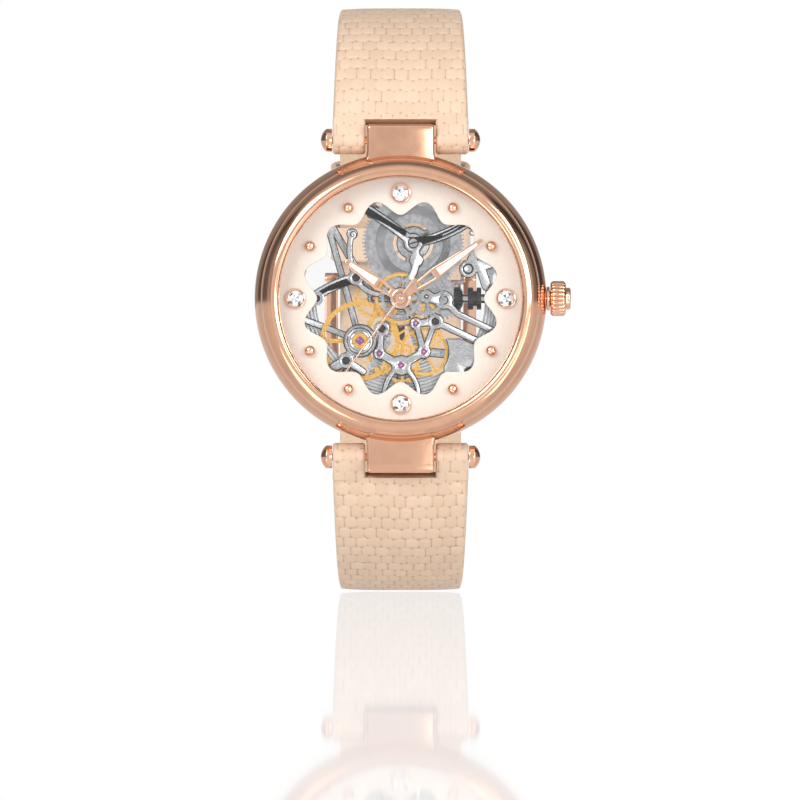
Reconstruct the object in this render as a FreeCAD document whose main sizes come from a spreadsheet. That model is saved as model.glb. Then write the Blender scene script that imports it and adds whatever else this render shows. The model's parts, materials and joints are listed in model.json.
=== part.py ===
"""Skeleton wristwatch: case, open-worked dial, hand-wound/automatic train, crown and leather strap.

Every piece is drawn in the watch's own axes, in millimetres: x to the crown at 3 o'clock, y to
12 o'clock and z from the outer face of the back (z = 0) to the dial side.  UPRIGHT stands that
system up, so that 12 o'clock points along +Z and the dial faces -Y.
"""
import FreeCAD, Part
import Sketcher
import math
import os
import re
from FreeCAD import Placement, Rotation, Vector

os.makedirs("parts", exist_ok=True)
doc = FreeCAD.newDocument("skeleton_wristwatch")
sheet = doc.addObject("Spreadsheet::Sheet", "Sizes")
UPRIGHT = Rotation(Vector(1, 0, 0), 90)
Z = Vector(0, 0, 1)

# ---------------------------------------------------------------- driving dimensions (mm, degrees)
SIZES = {
    # case, read as radii and as heights above the back
    "case_foot_radius": 17.0, "case_shoulder_radius": 18.15, "case_side_round": 5.52,
    "case_bottom": 1.0, "case_top": 8.2,
    "case_bore": 15.6, "dial_seat_radius": 16.2, "dial_level": 7.6, "dial_thickness": 0.4,
    "bezel_radius": 18.05, "bezel_lip_radius": 15.86, "bezel_crest_radius": 16.6,
    "bezel_side": 8.8, "bezel_top": 10.9, "bezel_lip": 10.2, "bezel_bore": 16.15, "bezel_round": 2.2,
    "crystal_radius": 16.15, "crystal_window_radius": 15.82, "crystal_bottom": 9.4, "crystal_top": 10.8,
    "flange_radius": 15.75, "flange_outer": 16.1,
    "glass_radius": 13.2, "glass_thickness": 1.0, "back_radius": 16.9, "back_level": 0.05,
    "back_spigot": 15.5, "back_spigot_bore": 14.8, "back_spigot_top": 1.9, "back_lip_radius": 12.8,
    "back_lip_top": 1.4,
    "holder_outer": 15.5, "holder_inner": 14.85, "holder_bottom": 2.0,
    # lugs and the pins through them
    "lug_width": 8.8, "lug_reach": 22.7, "lug_root": 16.5, "lug_bottom": 2.4, "lug_height": 4.9,
    "lug_round": 0.5, "pin_offset": 20.6, "pin_level": 4.8, "pin_radius": 0.5, "pin_hole": 0.55,
    "pin_half_length": 8.9, "pin_head_radius": 1.5, "pin_head_length": 1.5, "pin_slot": 0.35,
    # crown and winding stem, as distances from the watch's centre along the stem
    "stem_level": 4.4, "stem_radius": 0.6, "stem_inner_end": 6.9, "stem_outer_end": 21.0,
    "stem_neck_start": 11.2, "stem_neck_end": 11.8, "stem_neck_radius": 0.35,
    "tube_radius": 1.0, "tube_bore": 0.65, "tube_start": 15.6, "tube_end": 20.2,
    "tube_collar_radius": 1.55, "tube_collar_start": 18.98, "tube_collar_end": 19.4,
    "crown_radius": 2.3, "crown_start": 19.5, "crown_end": 21.5, "crown_cap_end": 22.15,
    "crown_cap_radius": 1.43, "crown_recess_radius": 1.2, "crown_recess_end": 20.4,
    "crown_bore": 0.64, "crown_rib_count": 22, "crown_groove": 0.16, "crown_bevel": 0.25,
    # dial furniture
    "cutout_radius": 12.05, "cutout_wave": 0.85, "lobe_count": 12, "quarter_valley": 0.35,
    "stone_ring": 13.7, "setting_radius": 1.33, "setting_bore": 1.05, "setting_height": 0.35,
    "stone_radius": 1.03, "stone_table": 0.6, "stone_height": 0.42,
    "bead_ring": 13.6, "bead_radius": 0.73,
    # hands
    "hour_level": 8.25, "minute_level": 8.6, "seconds_level": 8.95, "hand_thickness": 0.16,
    "hour_length": 8.6, "minute_length": 13.1, "seconds_length": 12.7, "seconds_tail": 3.2,
    "hour_angle": 304.2, "minute_angle": 54.4, "seconds_angle": 216.7,
    "hour_hub": 1.3, "minute_hub": 1.1, "seconds_hub": 0.8,
    # movement levels
    "plate_level": 3.1, "plate_thickness": 0.6, "plate_radius": 14.8, "rim_bore": 13.5,
    "bridge_level": 6.2, "bridge_thickness": 0.55, "cock_level": 4.65, "cock_thickness": 0.25,
    "wheel_rim": 0.35, "spoke_width": 0.28, "arbor_radius": 0.12,
    "centre_tube_radius": 0.42, "centre_tube_bore": 0.2, "centre_bearing": 0.47,
    "cannon_radius": 0.6, "hour_pipe_bore": 0.66, "hour_pipe_radius": 0.92,
    # balance and escapement
    "balance_radius": 5.2, "balance_rim": 0.6, "balance_level": 3.85, "balance_height": 0.4,
    "hairspring_radius": 2.3, "hairspring_level": 4.45, "hairspring_height": 0.18,
    "shock_radius": 1.6, "escape_radius": 2.795, "escape_level": 5.3, "escape_thickness": 0.15,
    # barrel
    "drum_radius": 5.9, "drum_level": 3.8, "spring_outer": 5.0, "spring_inner": 3.7,
    "barrel_window": 2.6, "barrel_arbor": 0.9,
    # rotor
    "rotor_radius": 13.2, "rotor_weight_inner": 11.0, "rotor_level": 1.6, "rotor_web": 0.22,
    "rotor_weight": 0.95, "rotor_hub": 2.1, "rotor_post": 0.7, "rotor_bore": 0.76,
    # strap
    "strap_width": 17.7, "strap_tail_width": 16.0, "strap_thickness": 2.4, "tail_thickness": 1.9,
    "strap_turn_radius": 21.0, "strap_turn_centre": 16.0, "strap_turn_end": 50.0, "strap_overlap": 2.25,
    "tail_bend_radius": 15.0, "buckle_half_end": 3.4, "tail_end": 37.0,
    "bar_radius": 0.75, "frame_width": 20.0, "frame_bar": 0.9, "frame_reach": 12.2,
    "keeper_wall": 0.9, "keeper_length": 4.6, "keeper_gap": 0.35,
}

# Wheels and pinions: teeth, module, level of the lower face, thickness.
GEARS = {
    "barrel": (84, 0.15476, 5.3, 0.4),
    "centre_pinion": (12, 0.15476, 5.25, 0.5),
    "centre_wheel": (80, 0.08468, 5.85, 0.2),
    "third_pinion": (10, 0.08468, 5.8, 0.3),
    "third_wheel": (75, 0.08965, 4.8, 0.15),
    "seconds_pinion": (10, 0.08965, 4.7, 0.35),
    "fourth_pinion": (10, 0.08965, 4.7, 0.35),
    "fourth_wheel": (84, 0.07565, 4.45, 0.15),
    "escape_pinion": (7, 0.07565, 4.4, 0.25),
    "cannon_pinion": (12, 0.13955, 6.85, 0.15),
    "minute_wheel": (36, 0.13955, 6.85, 0.15),
    "minute_pinion": (10, 0.134, 7.05, 0.3),
    "hour_wheel": (40, 0.134, 7.15, 0.15),
    "ratchet_wheel": (60, 0.1791, 2.7, 0.2),
    "crown_wheel": (30, 0.1791, 2.7, 0.1),
    "rotor_pinion": (20, 0.1, 2.25, 0.35),
    "reduction_wheel": (50, 0.1, 2.3, 0.2),
}

# Centres of the arbors, and of the screws, seen from the dial side.
CENTRE = (0.0, 0.0)
BARREL = (1.66, 7.24)
THIRD = (2.0, -3.243)
FOURTH = (3.04, -6.912)
ESCAPE = (0.1, -8.7)
PALLET = (-2.73, -7.15)
BALANCE = (-5.27, -5.5)
MINUTE = (3.34, 0.25)
CROWN_WHEEL = (5.2, 0.0)
REDUCTION = (-3.5, 0.0)
SCREWS = {"train_left": (-2.46, -3.9), "train_right": (4.5, -3.0), "cock": (-7.1, -8.05),
          "left": (-5.8, 2.73), "left_outer": (-10.9, 0.0), "motion": (5.6, -0.2)}

for gear, (teeth, module, level, thickness) in GEARS.items():
    SIZES[gear + "_teeth"] = teeth
    SIZES[gear + "_module"] = module
    SIZES[gear + "_level"] = level
    SIZES[gear + "_thickness"] = thickness
for row, (alias, number) in enumerate(SIZES.items(), start=1):
    sheet.set(f"A{row}", alias)
    sheet.set(f"B{row}", str(number))
    sheet.setAlias(f"B{row}", alias)
doc.recompute()


def size(alias):
    """A driving dimension, read from the sheet."""
    return float(sheet.get(alias))


def formula(text):
    """The sheet expression for a text that names its cells by alias alone."""
    return re.sub(r"\b[a-z]\w*", lambda word: "Sizes." + word.group(0), str(text))


# ---------------------------------------------------------------- placement and labels
def stand(x=0.0, y=0.0, turn=0.0):
    """Placement of a piece drawn about its own axis at the origin, put at x, y and turned."""
    return Placement(UPRIGHT.multVec(Vector(x, y, 0)), UPRIGHT.multiply(Rotation(Z, turn)))


SUBPARTS = []


def keep(item, label, placement=None):
    """Name a finished sub-part and put it in its place."""
    item.Label = label
    item.Placement = placement or stand()
    SUBPARTS.append(item)
    return item


# ---------------------------------------------------------------- PartDesign helpers
def plane(body, role):
    return next(feature for feature in body.Origin.OriginFeatures if feature.Role == role)


def new_sketch(body, role="XY_Plane", level="0"):
    sketch = body.newObject("Sketcher::SketchObject", body.Name + "_sketch")
    sketch.AttachmentSupport = [(plane(body, role), "")]
    sketch.MapMode = "FlatFace"
    sketch.setExpression("AttachmentOffset.Base.z", formula(level))
    return sketch


def evaluate(sketch, text):
    return float(sketch.evalExpression(formula(text)))


def draw_circle(sketch, radius, x="0", y="0"):
    """A circle whose radius and centre follow the sheet."""
    middle = Vector(evaluate(sketch, x), evaluate(sketch, y), 0)
    index = sketch.addGeometry(Part.Circle(middle, Z, evaluate(sketch, radius)), False)
    constraint = sketch.addConstraint(Sketcher.Constraint("Radius", index, evaluate(sketch, radius)))
    sketch.setExpression(f"Constraints[{constraint}]", formula(radius))
    for kind, text in (("DistanceX", x), ("DistanceY", y)):
        constraint = sketch.addConstraint(Sketcher.Constraint(kind, -1, 1, index, 3, evaluate(sketch, text)))
        sketch.setExpression(f"Constraints[{constraint}]", formula(text))


def draw_edge(sketch, start, end, radius):
    """A straight edge, or an arc that bulges to the right of its travel, between two points."""
    if radius is None:
        return sketch.addGeometry(Part.LineSegment(start, end), False)
    bend = evaluate(sketch, radius)
    chord = end - start
    inward = Z.cross(chord).normalize()
    centre = (start + end) / 2 + inward * math.sqrt(bend ** 2 - (chord.Length / 2) ** 2)
    angles = [math.atan2(spot.y - centre.y, spot.x - centre.x) for spot in (start, end)]
    edge = sketch.addGeometry(Part.ArcOfCircle(Part.Circle(centre, Z, bend), *angles), False)
    constraint = sketch.addConstraint(Sketcher.Constraint("Radius", edge, bend))
    sketch.setExpression(f"Constraints[{constraint}]", formula(radius))
    return edge


def draw_outline(sketch, corners):
    """A closed outline whose corners follow the sheet; a third entry bends the edge that starts there."""
    points = [Vector(evaluate(sketch, corner[0]), evaluate(sketch, corner[1]), 0) for corner in corners]
    first = sketch.GeometryCount
    count = len(points)
    for i, corner in enumerate(corners):
        radius = corner[2] if len(corner) > 2 else None
        draw_edge(sketch, points[i], points[(i + 1) % count], radius)
    for i, corner in enumerate(corners):
        edge = first + i
        sketch.addConstraint(Sketcher.Constraint("Coincident", edge, 2, first + (i + 1) % count, 1))
        for kind, text in (("DistanceX", corner[0]), ("DistanceY", corner[1])):
            constraint = sketch.addConstraint(
                Sketcher.Constraint(kind, -1, 1, edge, 1, evaluate(sketch, text)))
            sketch.setExpression(f"Constraints[{constraint}]", formula(text))


def pad(body, sketch, length):
    feature = body.newObject("PartDesign::Pad", body.Name + "_pad")
    feature.Profile = sketch
    feature.setExpression("Length", formula(length))
    return feature


def cut_through(body, sketch):
    feature = body.newObject("PartDesign::Pocket", body.Name + "_pocket")
    feature.Profile = sketch
    feature.Type = "ThroughAll"
    feature.Midplane = True
    return feature


def around(body, feature, count):
    """Repeat a feature about the body's own z axis."""
    pattern = body.newObject("PartDesign::PolarPattern", body.Name + "_pattern")
    pattern.Originals = [feature]
    pattern.Axis = (plane(body, "Z_Axis"), [""])
    pattern.Angle = 360
    pattern.Occurrences = int(count)
    body.Tip = pattern
    return pattern


def revolve(body, corners, role="XZ_Plane", axis="V_Axis"):
    sketch = new_sketch(body, role)
    draw_outline(sketch, corners)
    feature = body.newObject("PartDesign::Revolution", body.Name + "_turned")
    feature.Profile = sketch
    feature.ReferenceAxis = (sketch, [axis])
    feature.Angle = 360
    return feature


def new_body(name):
    return doc.addObject("PartDesign::Body", name)


def turned(name, corners):
    """A body of revolution about the watch axis from (radius, height) corners."""
    body = new_body(name)
    revolve(body, corners)
    return keep(body, name)


# ---------------------------------------------------------------- toothed wheels
def mesh_turn(gap_angle, teeth, towards, other_teeth):
    """Turn of a wheel whose teeth stand in the gaps of a partner seen in direction towards."""
    offset = (gap_angle - towards) % (360 / teeth)
    return towards + 180 - offset * teeth / other_teeth + 180 / other_teeth


def direction(start, end):
    return math.degrees(math.atan2(end[1] - start[1], end[0] - start[0]))


def cut_teeth(body, gear, turn=0.0):
    """Cut the tooth gaps of a wheel in its blank: one gap, turned from the x axis, repeated."""
    module = gear + "_module"
    radius = f"{gear}_teeth * {module} / 2"
    gap = new_sketch(body)
    gap.AttachmentOffset = Placement(Vector(), Rotation(Z, turn))
    gap.setExpression("AttachmentOffset.Base.z", formula(f"{gear}_level"))
    draw_outline(gap, [
        (f"{radius} - 1.2 * {module}", f"-0.65 * {module}"),
        (f"{radius} + 1.4 * {module}", f"-1.15 * {module}"),
        (f"{radius} + 1.4 * {module}", f"1.15 * {module}"),
        (f"{radius} - 1.2 * {module}", f"0.65 * {module}")])
    pocket = body.newObject("PartDesign::Pocket", body.Name + "_gap")
    pocket.Profile = gap
    pocket.Reversed = True
    pocket.setExpression("Length", formula(f"{gear}_thickness"))
    around(body, pocket, size(gear + "_teeth"))


def draw_blank(body, gear, hole=None):
    """Pad the plain disc or ring that a wheel's teeth are cut in."""
    blank = new_sketch(body, level=f"{gear}_level")
    draw_circle(blank, f"{gear}_teeth * {gear}_module / 2 + 0.95 * {gear}_module")
    if hole:
        draw_circle(blank, hole)
    return pad(body, blank, f"{gear}_thickness")


def add_disc(body, radius, bottom, top, bore=None):
    disc = new_sketch(body, level=bottom)
    draw_circle(disc, radius)
    if bore:
        draw_circle(disc, bore)
    return pad(body, disc, f"({top}) - ({bottom})")


def add_spokes(body, level, thickness, reach, count, width="spoke_width"):
    """Pad one arm from the axis out to the rim and repeat it."""
    arm = new_sketch(body, level=level)
    draw_outline(arm, [("0", f"-{width} / 2"), (reach, f"-{width} / 2"), (reach, f"{width} / 2"),
                       ("0", f"{width} / 2")])
    around(body, pad(body, arm, thickness), count)


def add_wheel(body, gear, spokes, hub):
    """A spoked wheel: toothed rim, arms and hub."""
    rim = f"{gear}_teeth * {gear}_module / 2 - 1.2 * {gear}_module - wheel_rim"
    draw_blank(body, gear, rim)
    cut_teeth(body, gear)
    add_spokes(body, f"{gear}_level", f"{gear}_thickness", f"{rim} + 0.1", spokes)
    add_disc(body, hub, f"{gear}_level", f"{gear}_level + {gear}_thickness")


def drill(body, radius):
    """Bore the whole body along its axis."""
    bore = new_sketch(body)
    draw_circle(bore, radius)
    cut_through(body, bore)


# ---------------------------------------------------------------- solid helpers for free shapes
def disc_solid(x, y, radius, bottom, height):
    return Part.makeCylinder(radius, height, Vector(x, y, bottom))


def bar_solid(start, end, width, bottom, height):
    """A straight bar with round ends between two points."""
    first, last = Vector(*start, bottom), Vector(*end, bottom)
    side = (last - first).normalize().cross(Z) * (width / 2)
    corners = [first + side, last + side, last - side, first - side]
    block = Part.Face(Part.makePolygon(corners + corners[:1])).extrude(Z * height)
    return block.fuse([disc_solid(*start, width / 2, bottom, height),
                       disc_solid(*end, width / 2, bottom, height)])


def arc_solid(start, middle, end, width, bottom, height):
    """A curved bar of even width whose middle line is the arc through three points."""
    circle = Part.Arc(Vector(*start, 0), Vector(*middle, 0), Vector(*end, 0)).toShape().Curve
    wires = []
    for radius in (circle.Radius + width / 2, circle.Radius - width / 2):
        points = []
        for spot in (start, middle, end):
            ray = (Vector(*spot, 0) - circle.Center).normalize()
            points.append(circle.Center + ray * radius + Z * bottom)
        wires.append(points)
    outer, inner = wires
    edges = [Part.Arc(*outer).toShape(), Part.LineSegment(outer[2], inner[2]).toShape(),
             Part.Arc(*reversed(inner)).toShape(), Part.LineSegment(inner[0], outer[0]).toShape()]
    return Part.Face(Part.Wire(edges)).extrude(Z * height)


def join(solids):
    return solids[0].fuse(solids[1:]).removeSplitter()


def free_piece(name, shape, placement=None):
    """A sub-part of free outline, cut or joined from solids of the sheet's sizes."""
    item = doc.addObject("Part::Feature", name)
    item.Shape = shape
    return keep(item, name, (placement or stand()).multiply(shape.Placement))


# ---------------------------------------------------------------- case
def make_case_middle():
    """Turned case band with a lug block at 12 and at 6, bored for the stem tube and the pins."""
    body = new_body("case_middle")
    revolve(body, [
        ("case_bore", "case_bottom"), ("case_foot_radius", "case_bottom", "case_side_round"),
        ("case_shoulder_radius", "case_top"), ("dial_seat_radius", "case_top"),
        ("dial_seat_radius", "dial_level"), ("case_bore", "dial_level")])
    for side in ("1", "-1"):
        lug = new_sketch(body, "YZ_Plane")
        root, reach = f"{side} * lug_root", f"{side} * lug_reach"
        draw_outline(lug, [(root, "lug_bottom"), (reach, "lug_bottom"), (reach, "lug_bottom + lug_height"),
                           (root, "lug_bottom + lug_height")])
        draw_circle(lug, "pin_hole", f"{side} * pin_offset", "pin_level")
        block = pad(body, lug, "lug_width")
        block.Midplane = True
    doc.recompute()
    block = body.Tip
    names = []
    for index, edge in enumerate(block.Shape.Edges, start=1):
        middle = edge.BoundBox.Center
        if abs(abs(middle.y) - size("lug_reach")) < 1e-4:
            names.append(f"Edge{index}")
    fillet = body.newObject("PartDesign::Fillet", "lug_round")
    fillet.Base = (block, names)
    fillet.setExpression("Radius", formula("lug_round"))
    doc.recompute()
    before = body.Shape.Volume
    bore = new_sketch(body, "YZ_Plane")
    draw_circle(bore, "tube_radius", "0", "stem_level")
    hole = body.newObject("PartDesign::Pocket", "stem_hole")
    hole.Profile = bore
    hole.Reversed = True
    hole.Type = "ThroughAll"
    doc.recompute()
    if not body.Shape.Volume < before:
        raise RuntimeError("the stem hole cut nothing")
    keep(body, "case_middle")


def make_lug_pins():
    """Two pins, each with a domed and slotted head on both ends."""
    pins = []
    for side in (1, -1):
        y, level, end = side * size("pin_offset"), size("pin_level"), size("pin_half_length")
        along = Vector(1, 0, 0)
        solid = Part.makeCylinder(size("pin_radius"), 2 * end, Vector(-end, y, level), along)
        radius, length = size("pin_head_radius"), size("pin_head_length")
        for way in (1, -1):
            head = Part.makeCylinder(radius, length, Vector(way * end, y, level), along * way)
            ball = Part.makeSphere(radius * 1.25, Vector(way * (end + length - radius * 1.25), y, level))
            slot = Part.makeBox(0.5, 2 * radius, size("pin_slot"))
            slot.translate(Vector(way * (end + length) - 0.25, y - radius, level - size("pin_slot") / 2))
            solid = solid.fuse(head.common(ball)).cut(slot)
        pins.append(solid)
    free_piece("lug_pins", Part.makeCompound(pins))


def make_case():
    make_case_middle()
    turned("bezel", [
        ("bezel_bore", "case_top"), ("bezel_radius", "case_top"),
        ("bezel_radius", "bezel_side", "bezel_round"),
        ("bezel_crest_radius", "bezel_top"), ("bezel_lip_radius", "bezel_top - 0.25"),
        ("bezel_lip_radius", "bezel_lip"), ("bezel_bore", "bezel_lip")])
    turned("crystal", [
        ("0", "crystal_bottom"), ("crystal_radius", "crystal_bottom"), ("crystal_radius", "bezel_lip"),
        ("crystal_window_radius", "bezel_lip"), ("crystal_window_radius", "crystal_top - 0.2"),
        ("crystal_window_radius * 0.7", "crystal_top - 0.05"), ("0", "crystal_top")])
    turned("dial_flange_ring", [
        ("flange_radius", "dial_level + dial_thickness"), ("flange_outer", "dial_level + dial_thickness"),
        ("flange_outer", "crystal_bottom"), ("flange_radius", "crystal_bottom")])
    turned("caseback_ring", [
        ("glass_radius", "back_level"), ("back_radius", "back_level"), ("back_radius", "case_bottom"),
        ("back_spigot", "case_bottom"), ("back_spigot", "back_spigot_top"),
        ("back_spigot_bore", "back_spigot_top"), ("back_spigot_bore", "back_lip_top"),
        ("back_lip_radius", "back_lip_top"), ("back_lip_radius", "case_bottom"),
        ("glass_radius", "case_bottom")])
    turned("caseback_glass", [
        ("0", "0"), ("glass_radius", "0"), ("glass_radius", "glass_thickness"), ("0", "glass_thickness")])
    make_lug_pins()
    holder = new_body("movement_holder_ring")
    revolve(holder, [
        ("holder_inner", "holder_bottom"), ("holder_outer", "holder_bottom"), ("holder_outer", "dial_level"),
        ("holder_inner", "dial_level")])
    bore = new_sketch(holder, "YZ_Plane")
    draw_circle(bore, "tube_radius + 0.1", "0", "stem_level")
    hole = holder.newObject("PartDesign::Pocket", "holder_hole")
    hole.Profile = bore
    hole.Reversed = True
    hole.Type = "ThroughAll"
    keep(holder, "movement_holder_ring")


# ---------------------------------------------------------------- crown and winding work
def along_stem(name, corners):
    """A piece turned about the stem: corners are (distance from the centre, radius)."""
    body = new_body(name)
    sketch = new_sketch(body)
    draw_outline(sketch, corners)
    feature = body.newObject("PartDesign::Revolution", name + "_turned")
    feature.Profile = sketch
    feature.ReferenceAxis = (sketch, ["H_Axis"])
    feature.Angle = 360
    return body


def at_stem():
    return Placement(UPRIGHT.multVec(Vector(0, 0, size("stem_level"))), UPRIGHT)


def flute(body, radius, start, end, count, depth):
    """Cut grooves along the stem direction round a turned piece."""
    groove = new_sketch(body, "YZ_Plane", start)
    draw_circle(groove, depth, "0", radius)
    pocket = body.newObject("PartDesign::Pocket", body.Name + "_flute")
    pocket.Profile = groove
    pocket.Reversed = True
    pocket.setExpression("Length", formula(f"({end}) - ({start})"))
    pattern = body.newObject("PartDesign::PolarPattern", body.Name + "_flutes")
    pattern.Originals = [pocket]
    pattern.Axis = (plane(body, "X_Axis"), [""])
    pattern.Angle = 360
    pattern.Occurrences = count
    body.Tip = pattern


def make_winding_work():
    tube = along_stem("crown_tube", [
        ("tube_start", "tube_bore"), ("tube_end", "tube_bore"), ("tube_end", "tube_radius"),
        ("tube_collar_end", "tube_radius"), ("tube_collar_end", "tube_collar_radius"),
        ("tube_collar_start + 0.02", "tube_collar_radius"), ("tube_collar_start + 0.02", "tube_radius"),
        ("tube_start", "tube_radius")])
    keep(tube, "crown_tube", at_stem())
    crown = along_stem("crown", [
        ("crown_start", "crown_recess_radius"), ("crown_start", "crown_radius - crown_bevel"),
        ("crown_start + crown_bevel", "crown_radius"), ("crown_end - crown_bevel", "crown_radius"),
        ("crown_end", "crown_radius - crown_bevel"), ("crown_end", "crown_cap_radius"),
        ("crown_cap_end - 0.2", "crown_cap_radius"), ("crown_cap_end", "crown_cap_radius - 0.25"),
        ("crown_cap_end", "0"), ("stem_outer_end + 0.05", "0"), ("stem_outer_end + 0.05", "crown_bore"),
        ("crown_recess_end", "crown_bore"), ("crown_recess_end", "crown_recess_radius")])
    flute(crown, "crown_radius + 0.02", "crown_start - 0.1", "crown_end + 0.1",
          int(size("crown_rib_count")), "crown_groove")
    keep(crown, "crown", at_stem())
    stem = along_stem("winding_stem", [
        ("stem_inner_end", "0"), ("stem_outer_end", "0"), ("stem_outer_end", "stem_radius"),
        ("stem_neck_end", "stem_radius"), ("stem_neck_end", "stem_neck_radius"),
        ("stem_neck_start", "stem_neck_radius"), ("stem_neck_start", "stem_radius"),
        ("stem_inner_end", "stem_radius")])
    keep(stem, "winding_stem", at_stem())
    winding = along_stem("winding_pinion", [
        ("6.95", "tube_bore"), ("8.1", "tube_bore"), ("8.1", "0.95"), ("7.75", "1.5"), ("6.95", "1.5")])
    flute(winding, "1.5", "6.8", "8.2", 18, "0.13")
    keep(winding, "winding_pinion", at_stem())
    sliding = along_stem("sliding_pinion", [
        ("8.75", "tube_bore"), ("10.5", "tube_bore"), ("10.5", "1.45"), ("9.9", "1.45"), ("9.9", "1.0"),
        ("9.45", "1.0"), ("9.45", "1.45"), ("8.75", "1.45")])
    flute(sliding, "1.45", "8.6", "9.3", 18, "0.12")
    keep(sliding, "sliding_pinion", at_stem())
    make_setting_lever()


def make_setting_lever():
    """Upright lever over the stem: its stud sits in the stem's neck and moves with it."""
    top = size("stem_level") + size("stem_radius") + 0.15
    pivot, tip = (11.5, 3.6), (11.5, 0.0)
    lever = bar_solid(pivot, tip, 1.0, top, 0.35)
    lever = lever.fuse(disc_solid(*pivot, 0.8, top, 0.35))
    stud = disc_solid(*tip, 0.2, size("stem_level") + 0.4, 0.5)
    lever = lever.fuse(stud).removeSplitter()
    free_piece("setting_lever", lever)


# ---------------------------------------------------------------- dial and hands
def cutout_radius(angle):
    """Edge of the dial's opening: twelve lobes between the hour marks, deeper at the quarters."""
    hour = math.radians(angle)
    wave = -size("cutout_wave") * math.cos(size("lobe_count") * hour)
    quarter = size("quarter_valley") * max(0.0, math.cos(4 * hour)) ** 4
    return size("cutout_radius") + wave - quarter


def make_dial():
    """Dial disc with its wavy opening, which is one closed smooth curve."""
    bottom, thick = size("dial_level"), size("dial_thickness")
    disc = Part.makeCylinder(size("dial_seat_radius") - 0.1, thick, Vector(0, 0, bottom))
    points = []
    for step in range(120):
        angle = step * 3.0
        radius = cutout_radius(angle)
        points.append(Vector(radius * math.cos(math.radians(angle)), radius * math.sin(math.radians(angle)),
                             bottom - 0.1))
    edge = Part.BSplineCurve()
    edge.interpolate(points, PeriodicFlag=True)
    hole = Part.Face(Part.Wire(edge.toShape())).extrude(Z * (thick + 0.2))
    free_piece("dial", disc.cut(hole))

    top = bottom + thick
    rings, stones, beads = [], [], []
    for hour in range(12):
        angle = math.radians(30 * hour)
        if hour % 3 == 0:
            x, y = size("stone_ring") * math.cos(angle), size("stone_ring") * math.sin(angle)
            ring = disc_solid(x, y, size("setting_radius"), top, size("setting_height"))
            rings.append(ring.cut(disc_solid(x, y, size("setting_bore"), top, 1.0)))
            crown = Part.makeCone(size("stone_radius"), size("stone_table"), size("stone_height") * 0.6,
                                  Vector(x, y, top + size("stone_height") * 0.4))
            stones.append(disc_solid(x, y, size("stone_radius"), top, size("stone_height") * 0.4).fuse(crown))
        else:
            x, y = size("bead_ring") * math.cos(angle), size("bead_ring") * math.sin(angle)
            ball = Part.makeSphere(size("bead_radius"), Vector(x, y, top + 0.15))
            beads.append(ball.cut(disc_solid(x, y, 2, top - 2, 2)))
    free_piece("marker_settings", Part.makeCompound(rings))
    free_piece("marker_stones", Part.makeCompound(stones))
    free_piece("dial_beads", Part.makeCompound(beads))


def make_baton(name, level, length, hub, bore, base, widest, tip):
    """Tapered baton hand with a window near its base, drawn pointing to 12 and then turned."""
    body = new_body(name)
    blade = new_sketch(body, level=level)
    draw_outline(blade, [
        (f"-{base}", "0"), (f"{base}", "0"), (f"{widest}", f"{length} * 0.3"), (f"{tip}", f"{length} - 0.15"),
        ("0", length), (f"-{tip}", f"{length} - 0.15"), (f"-{widest}", f"{length} * 0.3")])
    pad(body, blade, "hand_thickness")
    add_disc(body, hub, level, f"{level} + hand_thickness")
    window = new_sketch(body, level=level)
    draw_outline(window, [
        (f"-{base} * 0.55", f"{length} * 0.2"), (f"{base} * 0.55", f"{length} * 0.2"),
        (f"{widest} * 0.62", f"{length} * 0.36"), (f"-{widest} * 0.62", f"{length} * 0.36")])
    cut_through(body, window)
    drill(body, bore)
    return body


def make_hands():
    hour = make_baton("hour_hand", "hour_level", "hour_length", "hour_hub", "hour_pipe_radius", "0.5",
                      "0.78", "0.4")
    keep(hour, "hour_hand", stand(turn=-size("hour_angle")))
    minute = make_baton("minute_hand", "minute_level", "minute_length", "minute_hub", "cannon_radius", "0.42",
                        "0.75", "0.24")
    keep(minute, "minute_hand", stand(turn=-size("minute_angle")))
    seconds = new_body("seconds_hand")
    needle = new_sketch(seconds, level="seconds_level")
    draw_outline(needle, [
        ("-0.22", "-seconds_tail"), ("0.22", "-seconds_tail"), ("0.17", "0"), ("0.05", "seconds_length"),
        ("-0.05", "seconds_length"), ("-0.17", "0")])
    pad(seconds, needle, "hand_thickness * 0.6")
    add_disc(seconds, "seconds_hub", "seconds_level", "seconds_level + hand_thickness")
    drill(seconds, "arbor_radius")
    keep(seconds, "seconds_hand", stand(turn=-size("seconds_angle")))


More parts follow.
